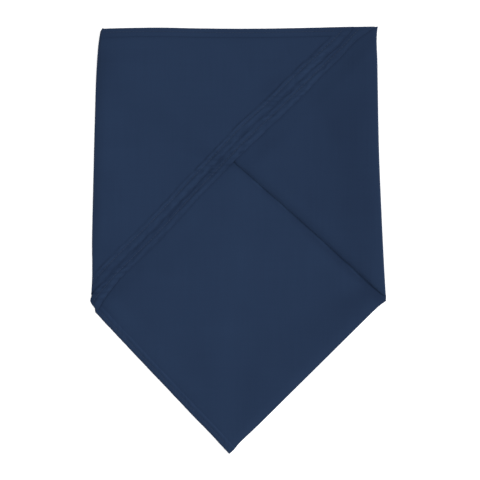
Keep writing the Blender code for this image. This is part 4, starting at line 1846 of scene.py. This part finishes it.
    def sheet(self) -> Sheet:
        """Gives the two plies as one sheet of cloth.

        Returns:
            The sheet, from the clean edge over to the right fold and down to the floor.
        """
        x, y = self.places()
        z, painted_shade_and_patches = self.height(x, y)
        flat = np.stack([x, y, z], axis=2)
        bottom = BUNDLE.pair_top - self.thick - self.sag_share * BUNDLE.clean_dip(x, y)
        under = np.stack([x, y, bottom], axis=2)
        floor = (BUNDLE.base_top + self.foot_rest) * (1 - self.reach(y[:, -1]))
        turn = FoldTurn(
            side=Side.RIGHT, line=BUNDLE.right_fold, middle=self.fold_middle, foot=self.fold_foot,
            tuck=self.fold_tuck, falls=0, lead=0,
        )
        radius = np.full(len(x), self.fold_radius)
        outer_fold = turn.path(flat[:, -1], radius, floor)
        inner_fold = turn.path(under[:, -1], radius - self.fold_wall, floor, 0.0)
        inner_fold[..., 0] = np.minimum(inner_fold[..., 0], outer_fold[..., 0] - self.fold_gap)
        across_cloth = x[:, -1:] + cloth_length(flat[:, -1:], outer_fold)
        fold_cloth = np.stack([across_cloth, outer_fold[..., 1]], axis=2)
        layered = BUNDLE.past_slanted_top(x, y) > self.ply_edges
        columns = outer_fold.shape[1]
        return Sheet(
            name="right_flap_cloth",
            outer=np.concatenate([flat, outer_fold], axis=1),
            inner=np.concatenate([under, inner_fold], axis=1),
            cloth=np.concatenate([np.stack([x, y], axis=2), fold_cloth], axis=1),
            painted_shade_and_patches=np.concatenate([painted_shade_and_patches, np.repeat(painted_shade_and_patches[:, -1:], columns, axis=1)], axis=1),
            plain_column=x.shape[1] + columns - 1,
            layered=np.concatenate([layered, np.repeat(layered[:, -1:], columns, axis=1)], axis=1),
        )

    def build(self, cloth: Material) -> list[Piece]:
        """Builds the flap.

        Args:
            cloth: the cloth's finish.

        Returns:
            The new pieces.
        """
        flap = self.sheet().build(cloth)
        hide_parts("right_flap")
        return [flap]


@dataclass(frozen=True)
class FoldedBase:
    """The two plies underneath, which show as the lower diamond, with a hem along the lower left edge.

    Args:
        hem: the hem of the lower left edge.
        side_inset: how far in from the left fold and the top edge its sides lie.
        left_span: where its left side runs from and to.
        side_count: how many places its left and its right side have.
        top_count: how many its top side has.
        right_inset: how far in from the right fold its right side lies.
        corner_inset: how far in it lies right by the right corner.
        corner_y: where that is, along the bundle.
        right_start: where its right side starts above that.
        hem_nose: how far in from the hemmed edge the first row lies.
        top_gap: how far down from the top edge the last row lies.
        edge_shares: the shares of a row at which its first places lie, and its last ones from its end.
        middle_share: the share of a row at which the others start.
        middle_count: how many others there are.
        corner_rows: how many rows go through the sides' places before and past the right corner.
        ply_edges: how far along the bundle its rim starts to show two plies.
        one_ply: how high one ply stands by the hemmed edge.
        both_plies: how the cloth rises from there to two plies.
        edge_nose: how far the rim of the lower right fold stands out.
        edge_drop: how far the cloth comes down to that fold.
        drop_reach: how far in from the fold that starts.
        crest_rises: how the cloth swells beside the fold.
        crest_falls: how that ends further in.
        crest_in: the same, in from the hemmed edge.
        clear_of_edge: how the cloth outside the clean edge comes clear of it.
        swell: how high the soft swells stand.
        swell_pitch: how far apart they are.
        swell_in: how they start, in from the hemmed edge.
        trough: how the cloth sags outside the left flap's hem.
        shift_ends: how the hemmed edge's unevenness dies away.
        stitch_ends: how far from the left corner and from the point the stitching ends.
        stitch_thread: the radius of its thread.
        hem_edge: how far in the hemmed edge lies, from the left corner on.
        fold_edge: how far out the lower right fold lies, from the point on.
        patches: painted paler and darker patches, among them painted shadow along the right flap's clean edge
            and painted light by the right corner.
    """

    hem: Hem = Hem(
        seed=Seed.BASE_HEM, pucker=0.10 * MM, ridge=0.02 * MM, valley=0.08 * MM,
        groove=Mound(height=0.09 * MM, at=0.7 * MM, width=1.1 * MM),
        outer_ridge=2.2 * MM, stitch_line=3.7 * MM, inner_ridge=5.0 * MM, width=6.7 * MM,
    )
    side_inset: float = 2.6 * MM
    left_span: tuple[float, float] = (-52 * MM, 174 * MM)
    side_count: int = 40
    top_count: int = 60
    right_inset: float = 1.6 * MM
    corner_inset: float = -0.3 * MM
    corner_y: float = -46 * MM
    right_start: float = -43.6 * MM
    hem_nose: float = 0.45 * MM
    top_gap: float = 1.2 * MM
    edge_shares: tuple[float, ...] = (0, 0.002, 0.005, 0.009)
    middle_share: float = 0.015
    middle_count: int = 210
    corner_rows: tuple[int, int] = (4, 3)
    ply_edges: float = 171 * MM
    one_ply: float = 0.85 * MM
    both_plies: Ramp = Ramp(start=7 * MM, run=34 * MM)
    edge_nose: float = 0.45 * MM
    edge_drop: float = 0.5 * MM
    drop_reach: float = 9 * MM
    crest_rises: Ramp = Ramp(start=0, run=9 * MM, height=0.7 * MM)
    crest_falls: Ramp = Ramp(start=47 * MM, run=-35 * MM)
    crest_in: Ramp = Ramp(start=10 * MM, run=20 * MM)
    clear_of_edge: Ramp = Ramp(start=3 * MM, run=10 * MM)
    swell: float = 0.1 * MM
    swell_pitch: float = 42 * MM
    swell_in: Ramp = Ramp(start=0, run=20 * MM)
    trough: Mound = Mound(height=0.35 * MM, at=1 * MM, width=4.5 * MM)
    shift_ends: Ramp = Ramp(start=30 * MM, run=-30 * MM)
    stitch_ends: tuple[float, float] = (4 * MM, 3 * MM)
    stitch_thread: float = 0.14 * MM
    hem_edge: SmoothLine = line_in_mm(
        (0, 0.2), (60, 0.2), (100, 0.32), (122, 0.4), (132, 0.65), (150, 0.65), (163, 0.3),
    )
    fold_edge: SmoothLine = line_in_mm(
        (0, 0), (7.6, 0.15), (10, -0.3), (14, -0.55), (24, -0.42), (35, -0.25), (80, -0.15), (168, 0),
        (175, 0.2), (178.6, 0.65), (182.4, 1.35),
    )
    # Painted shadow along the right flap's clean edge and by the right corner, painted light right in that
    # corner, and other painted patches.
    patches: tuple[Stroke, ...] = (
        patch((5, 35), (-8, -90), wide=12, pale=0.4),
        patch((-11, -58), (-13, -104), wide=9, pale=0.4),
        patch((15, -91), (10, -137), wide=9, pale=-0.45),
        patch((-103, -45), (-83.7, -25), wide=4, pale=-0.9),
        patch((-92, -41), (-84, -33), wide=5, pale=-0.5),
        patch((-100, -56), (-94, -62), wide=6, pale=0.9),
        patch((-115, -56), (-108, -61), wide=3.5, pale=-1.0),
        patch((6, -168), (14, -160), wide=7, pale=1.0),
        patch((84, -28), (92, -38), wide=7, pale=0.6),
        patch((96, -49), (105, -46), wide=8, pale=-1.3),
        patch((-62, -33), (-54, -33), wide=6, pale=0.6),
        patch((106, -43), (118, -47), wide=5, pale=-1.2),
        patch((-20, -73), (24, -73), wide=8, pale=0.35),
        patch((-50, -122), (-40, -131), wide=5, pale=-0.5),
        patch((55, -116), (118, -54), wide=6, pale=0.4),
        patch((-66, -92), (-25, -133), wide=8, pale=0.5),
        # Painted light by the right corner, in the shadow there.
        patch((117, -47), (122, -50), wide=3.5, pale=1.2),
        patch((-85, -45), (-22, 18), wide=9, pale=-0.35),
        patch((92, -62), (112, -51), wide=13, pale=-1.1),
        patch((-5, -176), (55, -116), wide=8, pale=0.8),
        patch((-7, -172), (-7, -150), wide=9, pale=0.8),
        # Painted shadow of the right flap's clean edge on the base, in three strokes.
        patch((120, -50.5), (-7, 64.8), wide=2.2, pale=-1.0),
        patch((115, -42.6), (-5.3, 66.6), wide=1.5, pale=-1.6),
        patch((120, -50.5), (64, 0.2), wide=3.4, pale=-1.1),
        patch((70, -48), (52, -100), wide=16, pale=-0.4),
    )

    def sides(self) -> tuple[Array, Array]:
        """Two lines of places round the base, from its lower left edge to its top right corner.

        Returns:
            The left and top side, and the lower right and right side.
        """
        nose = BUNDLE.base_top / 2
        heights = np.linspace(*self.left_span, self.side_count)
        left = np.stack([BUNDLE.left_fold(heights) + self.side_inset + nose, heights], axis=1)
        end_x = float(BUNDLE.right_fold(BUNDLE.top_right.y)) - self.right_inset - nose
        across = np.linspace(left[-1, 0], end_x, self.top_count)
        top = np.stack([across, BUNDLE.top_edge(across) - 2 * nose], axis=1)
        corner = BUNDLE.left_corner
        start = np.concatenate([[[corner.x + nose, corner.y]], left[:-1], top])
        run = direction(BUNDLE.point, BUNDLE.right_corner)
        along = np.array([spot.at for spot in self.fold_edge.spots])
        outward = self.fold_edge(along) - self.edge_nose
        low = np.array(BUNDLE.point) + np.outer(along, run) + np.outer(outward, (run[1], -run[0]))
        heights = np.linspace(self.right_start, top[-1, 1], self.side_count)
        heights = np.concatenate([[self.corner_y], heights])
        inset = np.full(len(heights), self.right_inset + nose)
        inset[0] = self.corner_inset + self.edge_nose
        right = np.stack([BUNDLE.right_fold(heights) - inset, heights], axis=1)
        return start, np.concatenate([low, right])

    def rows(self, start_inside: Array, end_inside: Array) -> Array:
        """Gives where the rows lie, with one through each corner of the bundle.

        Args:
            start_inside: how far in from the hemmed edge each place of the left and top side lies.
            end_inside: the same for the lower right and right side.

        Returns:
            The rows' distances in from the hemmed edge, in order.
        """
        last = min(start_inside[-1], end_inside[-1]) - self.top_gap
        rows = spaced_rows(self.hem_nose, FINE_ROWS, HEM_STEP, last, FLAT_STEP)
        corner = len(self.fold_edge.spots)
        before, past = self.corner_rows
        by_corners = [start_inside[self.side_count], *end_inside[corner - before : corner + past]]
        return np.unique(np.concatenate([rows, by_corners]))

    def along_hem(self, x: Array, y: Array) -> Array:
        """How far places lie along the hemmed edge, from the left corner to the point."""
        return along_line(BUNDLE.left_corner, BUNDLE.point, x, y)

    def edge_shift(self, inside: Array, along: Array) -> Array:
        """How far the uneven hemmed edge pushes places inwards."""
        return self.hem_edge(along) * self.shift_ends(inside)

    def height(self, x: Array, y: Array) -> tuple[Array, Array]:
        """Gives the height of the face that shows, and how much paler or darker it is painted.

        Args:
            x: places across the bundle.
            y: places along it.

        Returns:
            The height and the painted light and shade of each place.
        """
        inside, along = BUNDLE.from_lower_left(x, y), self.along_hem(x, y)
        inside = inside - self.edge_shift(inside, along)
        relief = self.hem.relief(inside, along)
        fold = -beside_line(BUNDLE.right_corner, BUNDLE.point, x, y)
        clear = BUNDLE.clear_of_flap(x, y) * self.clear_of_edge(BUNDLE.past_clean_edge(x, y))
        drop = self.edge_drop * np.clip(1 - fold / self.drop_reach, 0, 1) ** 2
        crest = self.crest_rises(fold) * self.crest_falls(fold) * clear * self.crest_in(inside)
        swell = self.swell * Billow(Seed.BASE_SWELL, self.swell_pitch)(x, y) * self.swell_in(inside) * clear
        troughs = self.trough(BUNDLE.past_flap(x, y)) + BUNDLE.clean_dip(x, y)
        z = self.one_ply + self.hem.turned(inside)
        z = z + (BUNDLE.base_top - self.one_ply) * self.both_plies(inside)
        z = z + relief - drop + crest - troughs + swell
        # Painted shade that follows the relief, painted patches, painted shadow beside the left flap's hem,
        # and painted light under the right flap's clean edge.
        painted_shade_and_patches = relief / RELIEF_PER_PAINTED_SHADE + strokes_at(self.patches, x, y) - BUNDLE.painted_hem_shadow(x, y)
        return z, painted_shade_and_patches + BUNDLE.painted_slit_light(x, y)

    def sheet(self) -> Sheet:
        """Gives the two plies as one sheet of cloth.

        Returns:
            The sheet, its rows in from the lower left edge.
        """
        start, end = self.sides()
        start_inside = BUNDLE.from_lower_left(*start.T)
        end_inside = BUNDLE.from_lower_left(*end.T)
        rows = self.rows(start_inside, end_inside)
        left = np.stack([np.interp(rows, start_inside, side) for side in start.T], axis=1)[:, None]
        right = np.stack([np.interp(rows, end_inside, side) for side in end.T], axis=1)[:, None]
        near = np.array(self.edge_shares)
        middle = np.linspace(self.middle_share, 1 - self.middle_share, self.middle_count)
        share = np.concatenate([near, middle, 1 - near[::-1]])
        flat = left + (right - left) * share[:, None]
        run = direction(BUNDLE.left_corner, BUNDLE.point)
        shift = self.edge_shift(rows[:, None], self.along_hem(flat[..., 0], flat[..., 1]))
        flat = flat + shift[..., None] * np.array([-run[1], run[0]])
        z, painted_shade_and_patches = self.height(flat[..., 0], flat[..., 1])
        return Sheet(
            name="folded_base_cloth",
            outer=np.concatenate([flat, z[..., None]], axis=2),
            inner=np.concatenate([flat, np.zeros_like(z)[..., None]], axis=2),
            cloth=flat,
            painted_shade_and_patches=painted_shade_and_patches,
            layered=flat[..., 1] > self.ply_edges,
        )

    def stitch_line(self) -> Array:
        """Gives the line that the topstitching of the lower left hem follows.

        Returns:
            Its places, one row of three for each.
        """
        run = direction(BUNDLE.left_corner, BUNDLE.point)
        last = math.dist(BUNDLE.left_corner, BUNDLE.point) - self.stitch_ends[1]
        along = np.arange(self.stitch_ends[0], last, STITCH_STEP)
        inward = self.hem.stitch_line + self.edge_shift(self.hem.stitch_line, along)
        places = np.array(BUNDLE.left_corner) + np.outer(along, run) + np.outer(inward, (-run[1], run[0]))
        z, _ = self.height(places[:, 0], places[:, 1])
        return np.concatenate([places, z[:, None]], axis=1)

    def build(self, cloth: Material, thread: Material) -> list[Piece]:
        """Builds the base and its stitching.

        Args:
            cloth: the cloth's finish.
            thread: the thread's finish.

        Returns:
            The new pieces.
        """
        base = self.sheet().build(cloth)
        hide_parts("folded_base")
        sewing = Stitching(thread=self.stitch_thread)
        sewn = sewing.build("folded_base_stitching", [self.stitch_line()], thread)
        return [base, sewn]


# --- The studio ---


class Lamp(NamedTuple):
    """A soft square light: its name, its place, how wide it is and its power."""

    name: str
    place: tuple[float, float, float]
    size: float
    power: float


@dataclass(frozen=True)
class Studio:
    """A white floor, soft light from above and a long lens straight above the cloth.

    Args:
        view_width: how wide the view is.
        view_centre: the place in its middle.
        edge_height: the height at which it is that wide.
        lens: the lens, in millimetres.
        sensor: the width of the camera's sensor, in millimetres.
        floor_size: how wide the floor is.
        floor_drop: how far the floor lies under the cloth.
        sky: how bright the light from all round is.
        lamps: the lamps.
    """

    view_width: float = 398.4 * MM
    view_centre: Corner = Corner(x=1.74 * MM, y=0.04 * MM)
    edge_height: float = 2 * MM
    lens: float = 100.0
    sensor: float = 36.0
    floor_size: float = 8.0
    floor_drop: float = 0.15 * MM
    sky: float = 0.53
    lamps: tuple[Lamp, ...] = (
        Lamp(name="near", place=(-0.2, -0.02, 0.6), size=0.2, power=1.4),
        Lamp(name="side", place=(3.4, 0.8, 2.0), size=1.2, power=147.3),
    )

    def build(self) -> None:
        """Builds the floor, the lights and the camera."""
        half = self.floor_size / 2
        mesh = bpy.data.meshes.new("floor")
        corners = [(-half, -half, 0), (half, -half, 0), (half, half, 0), (-half, half, 0)]
        mesh.from_pydata(corners, [], [(0, 1, 2, 3)])
        mesh.materials.append(FloorPaint().build("floor_paint"))
        floor = bpy.data.objects.new("floor", mesh)
        floor.location.z = -self.floor_drop
        bpy.context.scene.collection.objects.link(floor)
        for lamp in self.lamps:
            light = bpy.data.lights.new(lamp.name, "AREA")
            light.size = lamp.size
            light.energy = lamp.power
            placed = bpy.data.objects.new(lamp.name, light)
            placed.location = lamp.place
            placed.rotation_euler = Vector(lamp.place).to_track_quat("Z", "Y").to_euler()
            bpy.context.scene.collection.objects.link(placed)
        world = bpy.data.worlds.new("studio")
        world.use_nodes = True
        background = world.node_tree.nodes["Background"]
        background.inputs["Color"].default_value = (1, 1, 1, 1)
        background.inputs["Strength"].default_value = self.sky
        bpy.context.scene.world = world
        bpy.context.scene.view_settings.view_transform = "Standard"
        self.camera()

    def camera(self) -> None:
        """Puts the camera straight above the cloth."""
        data = bpy.data.cameras.new("camera")
        data.lens = self.lens
        data.sensor_width = self.sensor
        camera = bpy.data.objects.new("camera", data)
        distance = self.view_width * self.lens / self.sensor
        camera.location = (self.view_centre.x, self.view_centre.y, distance + self.edge_height)
        bpy.context.scene.collection.objects.link(camera)
        bpy.context.scene.camera = camera


def main() -> None:
    """Builds the studio and every piece of the bandana, in order."""
    logging.basicConfig(level=logging.INFO, format="%(message)s")
    Studio().build()
    cloth = Poplin().build("navy_poplin")
    thread = SewingThread().build("navy_thread")
    made = FoldedBase().build(cloth, thread)
    made += RightFlap().build(cloth)
    made += LeftFlap().build(cloth, thread)
    for piece in made:
        LOG.info("%s: %d faces", piece.name, len(piece.data.polygons))


if __name__ == "__main__":
    main()
